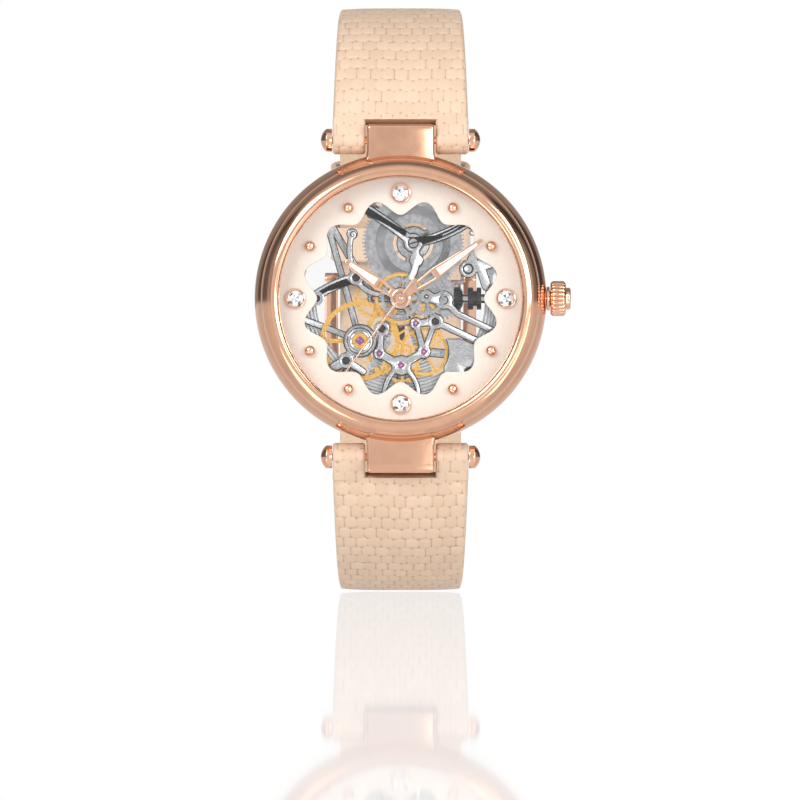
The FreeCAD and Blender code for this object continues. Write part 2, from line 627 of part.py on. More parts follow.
# ---------------------------------------------------------------- going train
def make_train():
    """Barrel to centre wheel, third, fourth and escape wheels, each turned into mesh."""
    teeth = {gear: size(gear + "_teeth") for gear in GEARS}
    centre_turn = direction(CENTRE, BARREL)
    barrel_turn = mesh_turn(centre_turn, teeth["centre_pinion"], centre_turn, teeth["barrel"])
    wheel_turn = direction(CENTRE, THIRD)
    third_turn = mesh_turn(wheel_turn, teeth["centre_wheel"], wheel_turn, teeth["third_pinion"])
    third_gap = direction(THIRD, CENTRE)
    seconds_turn = mesh_turn(third_gap, teeth["third_wheel"], third_gap, teeth["seconds_pinion"])
    fourth_turn = mesh_turn(third_gap, teeth["third_wheel"], direction(THIRD, FOURTH),
                            teeth["fourth_pinion"])
    fourth_gap = direction(FOURTH, ESCAPE)
    escape_turn = mesh_turn(fourth_gap, teeth["fourth_wheel"], fourth_gap, teeth["escape_pinion"])

    drum = new_body("barrel_drum")
    draw_blank(drum, "barrel", "drum_radius - 1.0")
    cut_teeth(drum, "barrel")
    add_disc(drum, "drum_radius", "drum_level", "barrel_level", "drum_radius - 0.35")
    add_disc(drum, "drum_radius", "drum_level", "drum_level + 0.2", "barrel_window")
    add_spokes(drum, "drum_level", "0.2", "barrel_window + 0.1", 3, "0.6")
    add_disc(drum, "1.5", "drum_level", "drum_level + 0.2")
    drill(drum, "barrel_arbor + 0.05")
    keep(drum, "barrel_drum", stand(*BARREL, barrel_turn))

    spring = new_body("mainspring")
    add_disc(spring, "spring_outer", "drum_level + 0.2", "barrel_level", "spring_inner")
    keep(spring, "mainspring", stand(*BARREL))

    pinion = new_body("centre_pinion")
    draw_blank(pinion, "centre_pinion")
    cut_teeth(pinion, "centre_pinion")
    add_disc(pinion, "centre_tube_radius", "centre_pinion_level", "minute_level + hand_thickness")
    drill(pinion, "centre_tube_bore")
    keep(pinion, "centre_pinion", stand(turn=centre_turn))

    wheel = new_body("centre_wheel")
    add_wheel(wheel, "centre_wheel", 5, "0.8")
    drill(wheel, "centre_tube_radius")
    keep(wheel, "centre_wheel", stand(turn=wheel_turn))

    make_arbor("third_wheel", THIRD, third_gap, "third_pinion", third_turn)
    make_arbor("fourth_wheel", FOURTH, fourth_gap, "fourth_pinion", fourth_turn)

    seconds = new_body("seconds_pinion")
    draw_blank(seconds, "seconds_pinion")
    cut_teeth(seconds, "seconds_pinion")
    add_disc(seconds, "arbor_radius", "plate_level + 0.2", "seconds_level + hand_thickness")
    keep(seconds, "seconds_pinion", stand(turn=seconds_turn))

    escape = new_body("escape_wheel")
    draw_blank(escape, "escape_pinion")
    cut_teeth(escape, "escape_pinion")
    add_disc(escape, "arbor_radius", "plate_level + 0.2", "bridge_level + bridge_thickness - 0.1")
    add_disc(escape, "0.6", "escape_level", "escape_level + escape_thickness")
    add_spokes(escape, "escape_level", "escape_thickness", "escape_radius - 0.65", 5)
    add_disc(escape, "escape_radius - 0.6", "escape_level", "escape_level + escape_thickness",
             "escape_radius - 0.9")
    tooth = new_sketch(escape, level="escape_level")
    draw_outline(tooth, [("escape_radius - 0.75", "-0.3"), ("escape_radius", "0.28"),
                         ("escape_radius - 0.03", "0.4"), ("escape_radius - 0.75", "0.12")])
    around(escape, pad(escape, tooth, "escape_thickness"), 15)
    keep(escape, "escape_wheel", stand(*ESCAPE, escape_turn))


def make_arbor(gear, place, wheel_turn, pinion_gear, pinion_turn):
    """A wheel, its pinion and their arbor; the two sets of teeth are each turned into mesh."""
    wheel = new_body(gear)
    add_wheel(wheel, gear, 4, "0.45")
    draw_blank(wheel, pinion_gear)
    cut_teeth(wheel, pinion_gear, pinion_turn - wheel_turn)
    low, high = sorted((gear, pinion_gear), key=lambda name: size(name + "_level"))
    add_disc(wheel, "0.3", f"{low}_level", f"{high}_level + 0.05")
    add_disc(wheel, "arbor_radius", "plate_level + 0.2", "bridge_level + bridge_thickness - 0.1")
    keep(wheel, gear, stand(*place, wheel_turn))


def make_motion_work():
    """Cannon pinion, minute wheel and hour wheel, which divide the minutes by twelve."""
    gap = direction(CENTRE, MINUTE)
    cannon = new_body("cannon_pinion")
    draw_blank(cannon, "cannon_pinion")
    cut_teeth(cannon, "cannon_pinion")
    add_disc(cannon, "cannon_radius", "cannon_pinion_level", "minute_level + hand_thickness")
    drill(cannon, "centre_tube_radius")
    keep(cannon, "cannon_pinion", stand(turn=gap))
    minute = new_body("minute_wheel")
    add_wheel(minute, "minute_wheel", 4, "0.75")
    draw_blank(minute, "minute_pinion")
    cut_teeth(minute, "minute_pinion")
    add_disc(minute, "0.5", "minute_wheel_level", "minute_pinion_level + 0.1")
    drill(minute, "0.3")
    turn = mesh_turn(gap, size("cannon_pinion_teeth"), gap, size("minute_wheel_teeth"))
    keep(minute, "minute_wheel", stand(*MINUTE, turn))
    hour = new_body("hour_wheel")
    add_wheel(hour, "hour_wheel", 5, "1.25")
    add_disc(hour, "hour_pipe_radius", "hour_wheel_level", "hour_level + hand_thickness")
    drill(hour, "hour_pipe_bore")
    back = direction(MINUTE, CENTRE)
    keep(hour, "hour_wheel", stand(turn=mesh_turn(turn, size("minute_pinion_teeth"), back,
                                                  size("hour_wheel_teeth"))))


# ---------------------------------------------------------------- balance and pallet
def make_escapement():
    balance = new_body("balance_wheel")
    add_disc(balance, "balance_radius", "balance_level", "balance_level + balance_height",
             "balance_radius - balance_rim")
    add_spokes(balance, "balance_level + 0.1", "balance_height - 0.2", "balance_radius - 0.3", 3, "0.55")
    add_disc(balance, "0.75", "balance_level", "balance_level + balance_height")
    drill(balance, "0.3")
    keep(balance, "balance_wheel", stand(*BALANCE, 60))
    turned_staff = new_body("balance_staff")
    add_disc(turned_staff, "arbor_radius", "plate_level + 0.1", "bridge_level + 0.1")
    add_disc(turned_staff, "0.3", "balance_level - 0.05", "hairspring_level")
    add_disc(turned_staff, "0.55", "escape_level", "escape_level + escape_thickness")
    keep(turned_staff, "balance_staff", stand(*BALANCE))
    spring = new_body("hairspring")
    add_disc(spring, "hairspring_radius", "hairspring_level", "hairspring_level + hairspring_height",
             "hairspring_radius - 0.12")
    for ring in ("1.9", "1.5", "1.1", "0.7"):
        add_disc(spring, ring, "hairspring_level", "hairspring_level + hairspring_height", f"{ring} - 0.12")
    add_spokes(spring, "hairspring_level", "hairspring_height", "hairspring_radius - 0.05", 3, "0.1")
    add_disc(spring, "0.4", "hairspring_level", "hairspring_level + hairspring_height")
    drill(spring, "arbor_radius")
    keep(spring, "hairspring", stand(*BALANCE))

    level, thick = size("escape_level"), size("escape_thickness")
    towards = Vector(BALANCE[0] - PALLET[0], BALANCE[1] - PALLET[1], 0).normalize()
    across = towards.cross(Z)

    def at(along, aside):
        spot = towards * along + across * aside
        return spot.x, spot.y
    fork = bar_solid(at(0, 0), at(1.75, 0), 0.35, level, thick)
    for side in (1, -1):
        horn = bar_solid(at(1.7, 0), at(2.1, 0.38 * side), 0.2, level, thick)
        arm = bar_solid(at(0, 0), at(-0.35, 1.75 * side), 0.34, level, thick)
        fork = fork.fuse([horn, arm])
    fork = fork.fuse(disc_solid(0, 0, 0.5, level, thick))
    fork = fork.fuse(disc_solid(0, 0, size("arbor_radius"), size("cock_level") + 0.05,
                                size("bridge_level") + 0.4 - size("cock_level")))
    free_piece("pallet_fork", fork.removeSplitter(), stand(*PALLET))


# ---------------------------------------------------------------- plates and bridges
def make_plates():
    bottom, thick = size("plate_level"), size("plate_thickness")
    top = size("bridge_level")
    rim = Part.makeCylinder(size("plate_radius"), top - bottom, Vector(0, 0, bottom))
    rim = rim.cut(Part.makeCylinder(size("rim_bore"), top, Vector(0, 0, bottom)))
    rim = rim.cut(disc_solid(*BARREL, 6.95, bottom + thick, top))
    spots = [(CENTRE, 1.5), (THIRD, 0.8), (FOURTH, 0.8), (ESCAPE, 0.8), (BALANCE, 1.5), (BARREL, 2.2),
             (REDUCTION, 0.8), (CROWN_WHEEL, 0.8)]
    solids = [rim] + [disc_solid(*spot, radius, bottom, thick) for spot, radius in spots]
    links = [(CENTRE, BARREL, 1.0), (CENTRE, THIRD, 0.9), (THIRD, FOURTH, 0.9), (FOURTH, ESCAPE, 0.9),
             (ESCAPE, (0.1, -13.9), 1.1), (CENTRE, REDUCTION, 0.9), (REDUCTION, (-9.4, 10.2), 1.0),
             (BALANCE, (-13.9, -2.2), 0.9), (BALANCE, (-9.6, 10.0), 0.9), (BALANCE, ESCAPE, 0.9),
             (CENTRE, CROWN_WHEEL, 0.9), (BARREL, (8.0, 11.6), 1.1), (BARREL, (-5.0, 13.1), 1.1),
             (FOURTH, (11.6, -7.7), 1.2), (BALANCE, (-8.0, -11.4), 0.9)]
    solids += [bar_solid(start, end, width, bottom, thick) for start, end, width in links]
    plate = join(solids)
    holes = [disc_solid(*spot, 0.3, 0, 9) for spot in (THIRD, FOURTH, ESCAPE, BALANCE, REDUCTION)]
    holes.append(disc_solid(*CENTRE, size("rotor_post"), 0, 9))
    holes.append(disc_solid(*BARREL, size("barrel_arbor") + 0.05, 0, 9))
    holes.append(disc_solid(*CROWN_WHEEL, 0.4, 0, 9))
    holes.append(Part.makeCylinder(0.75, 5, Vector(11.5, 0, size("stem_level")), Vector(1, 0, 0)))
    free_piece("mainplate", plate.cut(holes))

    level, thick = size("bridge_level"), size("bridge_thickness")
    make_barrel_bridge(level, thick)
    make_left_bridge(level, thick)
    make_train_bridge(level, thick)
    make_cocks(level, thick)
    make_keyless_plates(level, thick)
    make_screws_and_jewels(level, thick)


def groove(start, middle, end, level):
    """Two fine engraved lines side by side along a curved arm."""
    lines = []
    for shift in (0.14, -0.14):
        moved = [(x, y + shift) for x, y in (start, middle, end)]
        lines.append(arc_solid(*moved, 0.1, level - 0.12, 0.2))
    return lines


def make_barrel_bridge(level, thick):
    """Two curved wings to the rim, a round seat over the barrel arbor and a leg to the centre."""
    left = ((-6.0, 12.6), (-2.2, 10.2), BARREL)
    right = (BARREL, (5.6, 8.3), (9.4, 10.4))
    leg = (BARREL, (2.0, 4.6), (0.35, 1.4))
    solids = [arc_solid(*wing, 1.35, level, thick) for wing in (left, right)]
    solids += [disc_solid(-6.0, 12.6, 1.15, level, thick), disc_solid(9.4, 10.4, 1.0, level, thick)]
    solids += [arc_solid(*leg, 1.1, level, thick), disc_solid(2.05, 5.0, 0.95, level, thick)]
    solids += [disc_solid(*BARREL, 1.3, level, thick), disc_solid(*CENTRE, 1.5, level, thick)]
    bridge = join(solids)
    cuts = groove(*left[:2], (0.6, 8.4), level + thick) + groove((2.9, 7.3), *right[1:], level + thick)
    cuts += [disc_solid(*BARREL, 0.6, level - 1, 3), disc_solid(*CENTRE, size("centre_bearing"), 0, 9)]
    bound = Part.makeCylinder(size("plate_radius"), 3, Vector(0, 0, level - 1))
    free_piece("barrel_bridge", bridge.cut(cuts).common(bound))


def make_left_bridge(level, thick):
    """Arched arm from the rim over the balance, with a scroll foot beside the barrel."""
    arch = ((-13.6, -1.6), (-9.6, 1.2), SCREWS["left"])
    inner = (SCREWS["left"], (-4.6, 1.2), (-2.1, 0.6))
    strip = (SCREWS["left"], (-6.6, 5.6), (-6.4, 8.2))
    solids = [arc_solid(*arch, 1.4, level, thick), arc_solid(*inner, 0.8, level, thick)]
    solids += [arc_solid(*strip, 0.8, level, thick), disc_solid(-6.3, 8.4, 0.75, level, thick)]
    solids += [disc_solid(*SCREWS["left"], 1.05, level, thick), disc_solid(-13.4, -1.6, 0.9, level, thick)]
    bridge = join(solids)
    cuts = groove((-12.2, -0.6), arch[1], (-7.0, 2.3), level + thick)
    cuts.append(disc_solid(*SCREWS["left"], 0.55, level - 1, 3))
    cuts.append(disc_solid(*SCREWS["left_outer"], 0.55, level - 1, 3))
    bound = Part.makeCylinder(size("plate_radius"), 3, Vector(0, 0, level - 1))
    free_piece("left_bridge", bridge.cut(cuts).common(bound))


def make_train_bridge(level, thick):
    """Bone-shaped bridge over the third, fourth, escape and pallet pivots, with two legs below."""
    left, right = SCREWS["train_left"], SCREWS["train_right"]
    spots = [(left, 1.0), (PALLET, 0.85), (ESCAPE, 1.35), (FOURTH, 0.95), (THIRD, 0.85), (right, 1.1)]
    solids = [disc_solid(*spot, radius, level, thick) for spot, radius in spots]
    links = [(left, PALLET, 0.9), (PALLET, ESCAPE, 1.2), (ESCAPE, FOURTH, 1.2), (FOURTH, THIRD, 0.9),
             (THIRD, right, 1.1), (FOURTH, right, 0.8)]
    solids += [bar_solid(start, end, width, level, thick) for start, end, width in links]
    for side in (1, -1):
        leg = (ESCAPE, (side * 1.75 + 0.1, -10.6), (side * 2.0 + 0.1, -14.0))
        solids.append(arc_solid(*leg, 0.75, level, thick))
    solids.append(bar_solid(right, (11.9, -6.4), 1.0, level, thick))
    bridge = join(solids)
    cuts = [disc_solid(*spot, radius, level - 1, 3) for spot, radius in
            ((left, 0.55), (right, 0.55), (THIRD, 0.42), (FOURTH, 0.42), (ESCAPE, 0.42), (PALLET, 0.42))]
    bound = Part.makeCylinder(size("plate_radius"), 3, Vector(0, 0, level - 1))
    free_piece("train_bridge", bridge.cut(cuts).common(bound))


def make_cocks(level, thick):
    """Balance bridge with its shock setting, and the little bridge under the pallet."""
    cock = SCREWS["cock"]
    solids = [disc_solid(*BALANCE, 2.2, level, thick), disc_solid(*cock, 1.05, level, thick)]
    solids += [bar_solid(BALANCE, cock, 1.3, level, thick),
               bar_solid(cock, (-9.8, -9.6), 1.3, level, thick)]
    solids.append(bar_solid(cock, (-4.9, -9.5), 1.0, level, thick))
    bridge = join(solids).cut(disc_solid(*SCREWS["train_left"], 1.05, level - 1, 3))
    bound = Part.makeCylinder(size("plate_radius"), 3, Vector(0, 0, level - 1))
    cuts = [disc_solid(*cock, 0.55, level - 1, 3), disc_solid(*BALANCE, size("shock_radius"), level - 1, 3)]
    free_piece("balance_bridge", bridge.cut(cuts).common(bound))
    ring = disc_solid(0, 0, size("shock_radius"), level, thick + 0.05)
    ring = ring.cut(disc_solid(0, 0, 1.05, level + 0.35, 1)).cut(disc_solid(0, 0, 0.17, level - 0.1, 0.25))
    ruby = disc_solid(0, 0, 0.6, level + 0.35, 0.15)
    spring = bar_solid((-1.1, 0), (1.1, 0), 0.25, level + 0.5, 0.08)
    free_piece("shock_setting", ring.fuse([ruby, spring]), stand(*BALANCE))

    low, cock_thick = size("cock_level"), size("cock_thickness")
    towards = Vector(BALANCE[0] - PALLET[0], BALANCE[1] - PALLET[1], 0).normalize()
    across = towards.cross(Z) * 2.15
    ends = [(PALLET[0] + way * across.x, PALLET[1] + way * across.y) for way in (1, -1)]
    bar = bar_solid(*ends, 0.8, low, cock_thick)
    bar = bar.cut(disc_solid(*PALLET, size("arbor_radius") + 0.03, 0, 9))
    feet = [disc_solid(*end, 0.35, low, level - low) for end in ends]
    free_piece("pallet_bridge", bar.fuse(feet).removeSplitter())


def make_keyless_plates(level, thick):
    """Round-ended motion plate, and the cover plates of the keyless works beside the stem."""
    screw = SCREWS["motion"]
    plate = join([bar_solid((2.6, 0.35), screw, 1.4, level, thick),
                  disc_solid(*screw, 1.25, level, thick), disc_solid(*MINUTE, 0.95, level, thick),
                  bar_solid(screw, (7.4, -2.0), 0.9, level, thick),
                  bar_solid((7.4, -2.0), (12.5, -4.4), 0.9, level, thick)])
    post = disc_solid(*MINUTE, 0.26, level + thick, 0.6)
    bound = Part.makeCylinder(size("plate_radius"), 3, Vector(0, 0, level - 1))
    clear = [disc_solid(*CENTRE, 1.55, level - 1, 3), disc_solid(*screw, 0.5, level - 1, 3)]
    free_piece("motion_plate", plate.cut(clear).common(bound).fuse(post).removeSplitter())
    upper = join([disc_solid(8.8, 3.86, 1.2, level, thick),
                  bar_solid((8.8, 3.86), (13.4, 5.2), 1.6, level, thick),
                  bar_solid((8.8, 3.86), (10.6, 8.0), 1.4, level, thick),
                  bar_solid((10.6, 3.4), (11.2, 1.6), 1.3, level, thick)])
    lower = Part.makeCylinder(10.4, thick, Vector(12.4, -8.4, level))
    lower = lower.common(Part.makeBox(9.5, 8.0, 3, Vector(5.6, -13.2, level - 1)))
    lower = lower.cut([disc_solid(*FOURTH, 3.2, level - 1, 3),
                       bar_solid(SCREWS["train_right"], (11.9, -6.4), 1.1, level - 1, 3)])
    lower = max(lower.common(bound).Solids, key=lambda solid: solid.Volume)
    lower = lower.cut(disc_solid(9.0, -9.6, 0.6, level + thick - 0.1, 1))
    upper = upper.common(bound).cut(disc_solid(8.8, 3.86, 0.6, level + thick - 0.15, 1))
    free_piece("keyless_plates", Part.makeCompound([upper, lower]))


def make_screws_and_jewels(level, thick):
    """Slotted screws in the bridge seats and rubies in the pivot holes."""
    screws = []
    for name, spot in SCREWS.items():
        radius = 0.5 if name == "motion" else 0.55
        head = disc_solid(*spot, radius, level + 0.1, thick - 0.05)
        corner = Vector(spot[0] - radius, spot[1] - 0.08, level + thick - 0.1)
        slot = Part.makeBox(2 * radius, 0.16, 0.2, corner)
        slot.rotate(Vector(*spot, 0), Z, 37 * len(screws))
        screws.append(head.cut(slot))
    arbor_screw = disc_solid(*BARREL, 0.6, level + 0.15, thick - 0.05)
    slot = Part.makeBox(1.2, 0.16, 0.2, Vector(BARREL[0] - 0.6, BARREL[1] - 0.08, level + thick - 0.05))
    screws.append(arbor_screw.cut(slot))
    free_piece("bridge_screws", Part.makeCompound(screws))
    jewels = []
    for spot in (THIRD, FOURTH, ESCAPE, PALLET):
        jewel = disc_solid(*spot, 0.42, level + 0.1, thick - 0.15)
        jewels.append(jewel.cut(disc_solid(*spot, size("arbor_radius") + 0.02, 0, 9)))
    for spot in (THIRD, FOURTH, ESCAPE, BALANCE, REDUCTION):
        jewel = disc_solid(*spot, 0.3, size("plate_level") + 0.05, size("plate_thickness") - 0.1)
        jewels.append(jewel.cut(disc_solid(*spot, size("arbor_radius") + 0.02, 0, 9)))
    free_piece("train_jewels", Part.makeCompound(jewels))


# ---------------------------------------------------------------- winding side under the plate
def make_back_works():
    """Ratchet and crown wheels, the barrel arbor, and the rotor with its bearing and first wheel."""
    gap = direction(CROWN_WHEEL, BARREL)
    crown_wheel = new_body("crown_wheel")
    draw_blank(crown_wheel, "crown_wheel")
    cut_teeth(crown_wheel, "crown_wheel")
    add_disc(crown_wheel, "0.35", "crown_wheel_level", "plate_level + plate_thickness")
    keep(crown_wheel, "crown_wheel", stand(*CROWN_WHEEL, gap))
    ratchet = new_body("ratchet_wheel")
    add_wheel(ratchet, "ratchet_wheel", 4, "1.6")
    drill(ratchet, "0.5")
    turn = mesh_turn(gap, size("crown_wheel_teeth"), gap, size("ratchet_wheel_teeth"))
    keep(ratchet, "ratchet_wheel", stand(*BARREL, turn))
    arbor = new_body("barrel_arbor")
    add_disc(arbor, "0.5", "ratchet_wheel_level", "plate_level")
    add_disc(arbor, "barrel_arbor", "plate_level", "barrel_level + barrel_thickness")
    add_disc(arbor, "0.55", "barrel_level + barrel_thickness", "bridge_level + 0.1")
    keep(arbor, "barrel_arbor", stand(*BARREL))

    rotor = new_body("rotor")
    draw_blank(rotor, "rotor_pinion")
    cut_teeth(rotor, "rotor_pinion")
    add_disc(rotor, "rotor_hub", "rotor_level", "rotor_pinion_level")
    web = new_sketch(rotor, level="rotor_level")
    draw_outline(web, [("-1.6", "0"), ("1.6", "0"), ("4.6", "-rotor_weight_inner - 0.5"),
                       ("-4.6", "-rotor_weight_inner - 0.5")])
    pad(rotor, web, "rotor_web")
    section = new_sketch(rotor, "XZ_Plane")
    draw_outline(section, [
        ("rotor_weight_inner", "rotor_level"), ("rotor_radius", "rotor_level"),
        ("rotor_radius", "rotor_level + rotor_weight"),
        ("rotor_weight_inner", "rotor_level + rotor_weight")])
    weight = rotor.newObject("PartDesign::Revolution", "rotor_weight")
    weight.Profile = section
    weight.ReferenceAxis = (section, ["V_Axis"])
    weight.Angle = 180
    weight.Reversed = True
    window = new_sketch(rotor)
    draw_outline(window, [("-0.9", "-3.6"), ("0.9", "-3.6"), ("2.6", "-9.2"), ("-2.6", "-9.2")])
    cut_through(rotor, window)
    drill(rotor, "rotor_bore")
    doc.recompute()
    if rotor.Shape.BoundBox.YMin > -size("rotor_radius") + 0.1:
        raise RuntimeError("the rotor's weight lies on the wrong side")
    keep(rotor, "rotor")

    post = new_body("rotor_bearing")
    add_disc(post, "rotor_post", "rotor_level - 0.1", "plate_level + 0.15")
    add_disc(post, "1.3", "rotor_level - 0.1", "rotor_level - 0.03")
    keep(post, "rotor_bearing")
    gap = direction(CENTRE, REDUCTION)
    reduction = new_body("reduction_wheel")
    add_wheel(reduction, "reduction_wheel", 4, "0.6")
    add_disc(reduction, "arbor_radius", "reduction_wheel_level", "plate_level + 0.5")
    keep(reduction, "reduction_wheel", stand(*REDUCTION, gap + 180 + 180 / size("reduction_wheel_teeth")))


# ---------------------------------------------------------------- strap
def back_centre():
    """Centre and radius of the large arc that closes the strap's loop behind the wrist."""
    turn = math.radians(size("strap_turn_end"))
    front = size("strap_turn_radius")
    lean = math.acos((size("pin_offset") - size("strap_turn_centre")) / front)
    turn_level = size("pin_level") - front * math.sin(lean)
    end = Vector(0, size("strap_turn_centre") + front * math.cos(turn), turn_level - front * math.sin(turn))
    radius = end.y / math.cos(turn)
    return Vector(0, 0, end.z + radius * math.sin(turn)), radius, turn_level, lean


def band(centre, radius, start, end, half, width):
    """A bent strip: an arc in the y-z plane from angle start to end, of thickness 2 half."""
    def at(distance, angle):
        return centre + Vector(0, math.cos(math.radians(angle)), math.sin(math.radians(angle))) * distance
    middle = (start + end) / 2
    outer = [at(radius + half, angle) for angle in (start, middle, end)]
    inner = [at(radius - half, angle) for angle in (end, middle, start)]
    edges = [Part.Arc(*outer).toShape(), Part.LineSegment(outer[2], inner[0]).toShape(),
             Part.Arc(*inner).toShape(), Part.LineSegment(inner[2], outer[0]).toShape()]
    face = Part.Face(Part.Wire(edges))
    face.translate(Vector(-width / 2, 0, 0))
    return face.extrude(Vector(width, 0, 0))


def make_strap_front(centre_y, turn_level, lean):
    """The padded front stretch: loops round the lug pin, a notch for the lug block, a taper."""
    half = size("strap_thickness") / 2
    wide, narrow = size("strap_width"), size("strap_tail_width")
    centre = Vector(0, centre_y, turn_level)
    front = band(centre, size("strap_turn_radius"), math.degrees(lean), 0, half, wide)
    start, end = size("pin_offset"), centre_y + size("strap_turn_radius")
    for side in (1, -1):
        corners = [Vector(side * wide / 2, start, -60), Vector(side * 12, start, -60),
                   Vector(side * 12, end + 2, -60), Vector(side * narrow / 2, end + 2, -60),
                   Vector(side * narrow / 2, end - 1, -60)]
        front = front.cut(Part.Face(Part.makePolygon(corners + corners[:1])).extrude(Z * 90))
    pin = Vector(-wide / 2, size("pin_offset"), size("pin_level"))
    loop = Part.makeCylinder(1.85, wide, pin, Vector(1, 0, 0))
    front = front.fuse(loop)
    front = front.cut(Part.makeCylinder(size("pin_radius"), wide, pin, Vector(1, 0, 0)))
    notch = size("lug_width") / 2 + 0.15
    return front.cut(Part.makeBox(2 * notch, 8, 12, Vector(-notch, size("lug_reach") + 0.15 - 8, -1)))


def mirrored(shape):
    return shape.mirror(Vector(), Vector(0, 1, 0))


def make_strap():
    """Both strap halves, closed in a loop, with the buckle and the two keepers."""
    centre, radius, turn_level, lean = back_centre()
    turn_end, half = size("strap_turn_end"), size("tail_thickness") / 2
    narrow, outer_radius = size("strap_tail_width"), radius + size("strap_overlap")
    front_centre = Vector(0, size("strap_turn_centre"), turn_level)
    front = make_strap_front(size("strap_turn_centre"), turn_level, lean)
    rear = band(front_centre, size("strap_turn_radius"), 0, -turn_end, half, narrow)
    buckle_end = -90 + size("buckle_half_end")
    last = band(centre, radius, -turn_end, buckle_end, half, narrow)
    turn = math.radians(buckle_end)
    bar_spot = centre + Vector(0, math.cos(turn), math.sin(turn)) * radius
    bar_start = bar_spot - Vector(narrow / 2, 0, 0)
    along = Vector(1, 0, 0)
    eye = Part.makeCylinder(half, narrow, bar_start, along)
    buckle_half = join([front, rear, last, eye])
    slot = Part.makeBox(2.6, 5.0, 5.0, bar_spot + Vector(-1.3, -2.5, -2.5))
    buckle_half = buckle_half.cut([Part.makeCylinder(size("bar_radius"), narrow, bar_start, along), slot])
    free_piece("strap_12", buckle_half)

    bend = size("tail_bend_radius")
    run = math.sqrt((outer_radius - bend) ** 2 - (radius - bend) ** 2)
    swing = math.degrees(math.atan2(run, radius - bend))
    leave = -90 - swing
    away = Vector(0, math.cos(math.radians(leave)), math.sin(math.radians(leave)))
    onward = Vector(0, -away.z, away.y)
    straight = Part.makeBox(narrow, run, 2 * half)
    straight.translate(Vector(-narrow / 2, 0, -half))
    straight.rotate(Vector(), Vector(1, 0, 0), leave + 90)
    straight.translate(centre + away * radius)
    bend_centre = centre + away * (radius - bend) + onward * run
    pieces = [mirrored(front), mirrored(rear), band(centre, radius, -180 + turn_end, leave, half, narrow),
              straight, band(bend_centre, bend, leave, -90, half, narrow),
              band(centre, outer_radius, -90, -90 + size("tail_end"), half, narrow)]
    tail = join(pieces)
    hole = Part.makeBox(1.7, 7.4, 9, Vector(-0.85, -5.9, centre.z - outer_radius - 4))
    spare = [Part.makeCylinder(0.75, 9, centre + Vector(0, math.sin(math.radians(turn)) * radius,
             -math.cos(math.radians(turn)) * radius - 4)) for turn in (-30, -36)]
    free_piece("strap_6", tail.cut([hole] + spare))
    make_buckle(centre, radius, outer_radius, bar_spot)
    for name, turn in (("fixed_keeper", 9.5), ("floating_keeper", 19.0)):
        keeper = make_keeper(centre, radius, outer_radius, turn)
        free_piece(name, keeper)


def make_keeper(centre, radius, outer_radius, turn):
    """A leather loop round both strap layers."""
    half = size("tail_thickness") / 2
    gap, wall, length = size("keeper_gap"), size("keeper_wall"), size("keeper_length")
    low, high = radius - half - gap, outer_radius + half + gap
    width = size("strap_tail_width") + 2 * gap
    solid = Part.makeBox(width + 2 * wall, length, high - low + 2 * wall)
    solid.translate(Vector(-width / 2 - wall, -length / 2, -high - wall))
    inside = Part.makeBox(width, length + 2, high - low)
    inside.translate(Vector(-width / 2, -length / 2 - 1, -high))
    keeper = solid.cut(inside)
    keeper.rotate(Vector(), Vector(1, 0, 0), turn)
    keeper.translate(centre)
    return keeper


def make_buckle(centre, radius, outer_radius, bar_spot):
    """Pin buckle: rounded frame, spring bar and the prong that rests on the frame."""
    along = Vector(1, 0, 0)
    half_width, thick = size("frame_width") / 2, size("frame_bar")
    inner = size("strap_tail_width") / 2 + 0.3
    front_bar = bar_spot + Vector(0, -size("frame_reach"), -(size("strap_overlap") + 0.55))
    bar = Part.makeCylinder(thick, 2 * half_width, front_bar - along * half_width, along)
    sides = []
    for way in (1, -1):
        corners = [bar_spot + Vector(way * inner, 0, thick), bar_spot + Vector(way * inner, 0, -thick),
                   front_bar + Vector(way * inner, 0, -thick), front_bar + Vector(way * inner, 0, thick)]
        outline = Part.Face(Part.makePolygon(corners + corners[:1]))
        arm = outline.extrude(along * (way * (half_width - inner)))
        round_end = Part.makeCylinder(thick, half_width - inner, bar_spot + along * (way * inner),
                                      along * way)
        sides += [arm, round_end]
    frame = join([bar] + sides)
    length = 2 * inner + 1.6
    pin = Part.makeCylinder(size("bar_radius") - 0.1, length, bar_spot - along * (length / 2), along)
    free_piece("buckle_frame", frame.cut(pin))
    free_piece("buckle_bar", pin)
    tip = front_bar + Vector(0, -0.6, -thick - 0.95)
    eye = Part.makeCylinder(1.25, 1.2, bar_spot - along * 0.6, along)
    shaft = tip - bar_spot
    side = shaft.cross(along).normalize() * 0.5
    corners = [bar_spot + side, tip + side, tip - side, bar_spot - side]
    blade = Part.Face(Part.makePolygon(corners + corners[:1])).extrude(along * 1.2)
    blade.translate(-along * 0.6)
    hole = Part.makeCylinder(size("bar_radius") - 0.05, 2, bar_spot - along, along)
    free_piece("buckle_prong", eye.fuse(blade).cut(hole).removeSplitter())


# ---------------------------------------------------------------- build, check and write
make_case()
make_winding_work()
make_dial()
make_hands()
make_train()
make_motion_work()
make_escapement()
make_plates()
make_back_works()
make_strap()
doc.recompute()

for item in doc.Objects:
    if "Invalid" in item.State or "Error" in item.State:
        raise RuntimeError(f"{item.Name} failed: {item.State}")
for item in SUBPARTS:
    if item.Shape.isNull() or not item.Shape.isValid():
        raise RuntimeError(f"{item.Label} has no valid shape")
    item.Shape.exportStep(f"parts/{item.Label}.step")
    print(item.Label, len(item.Shape.Solids), round(item.Shape.Volume, 3))
print(len(SUBPARTS), "sub-parts")
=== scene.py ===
import bmesh
import bpy
import json
import math
import random
import numpy as np
from mathutils import Matrix, Vector


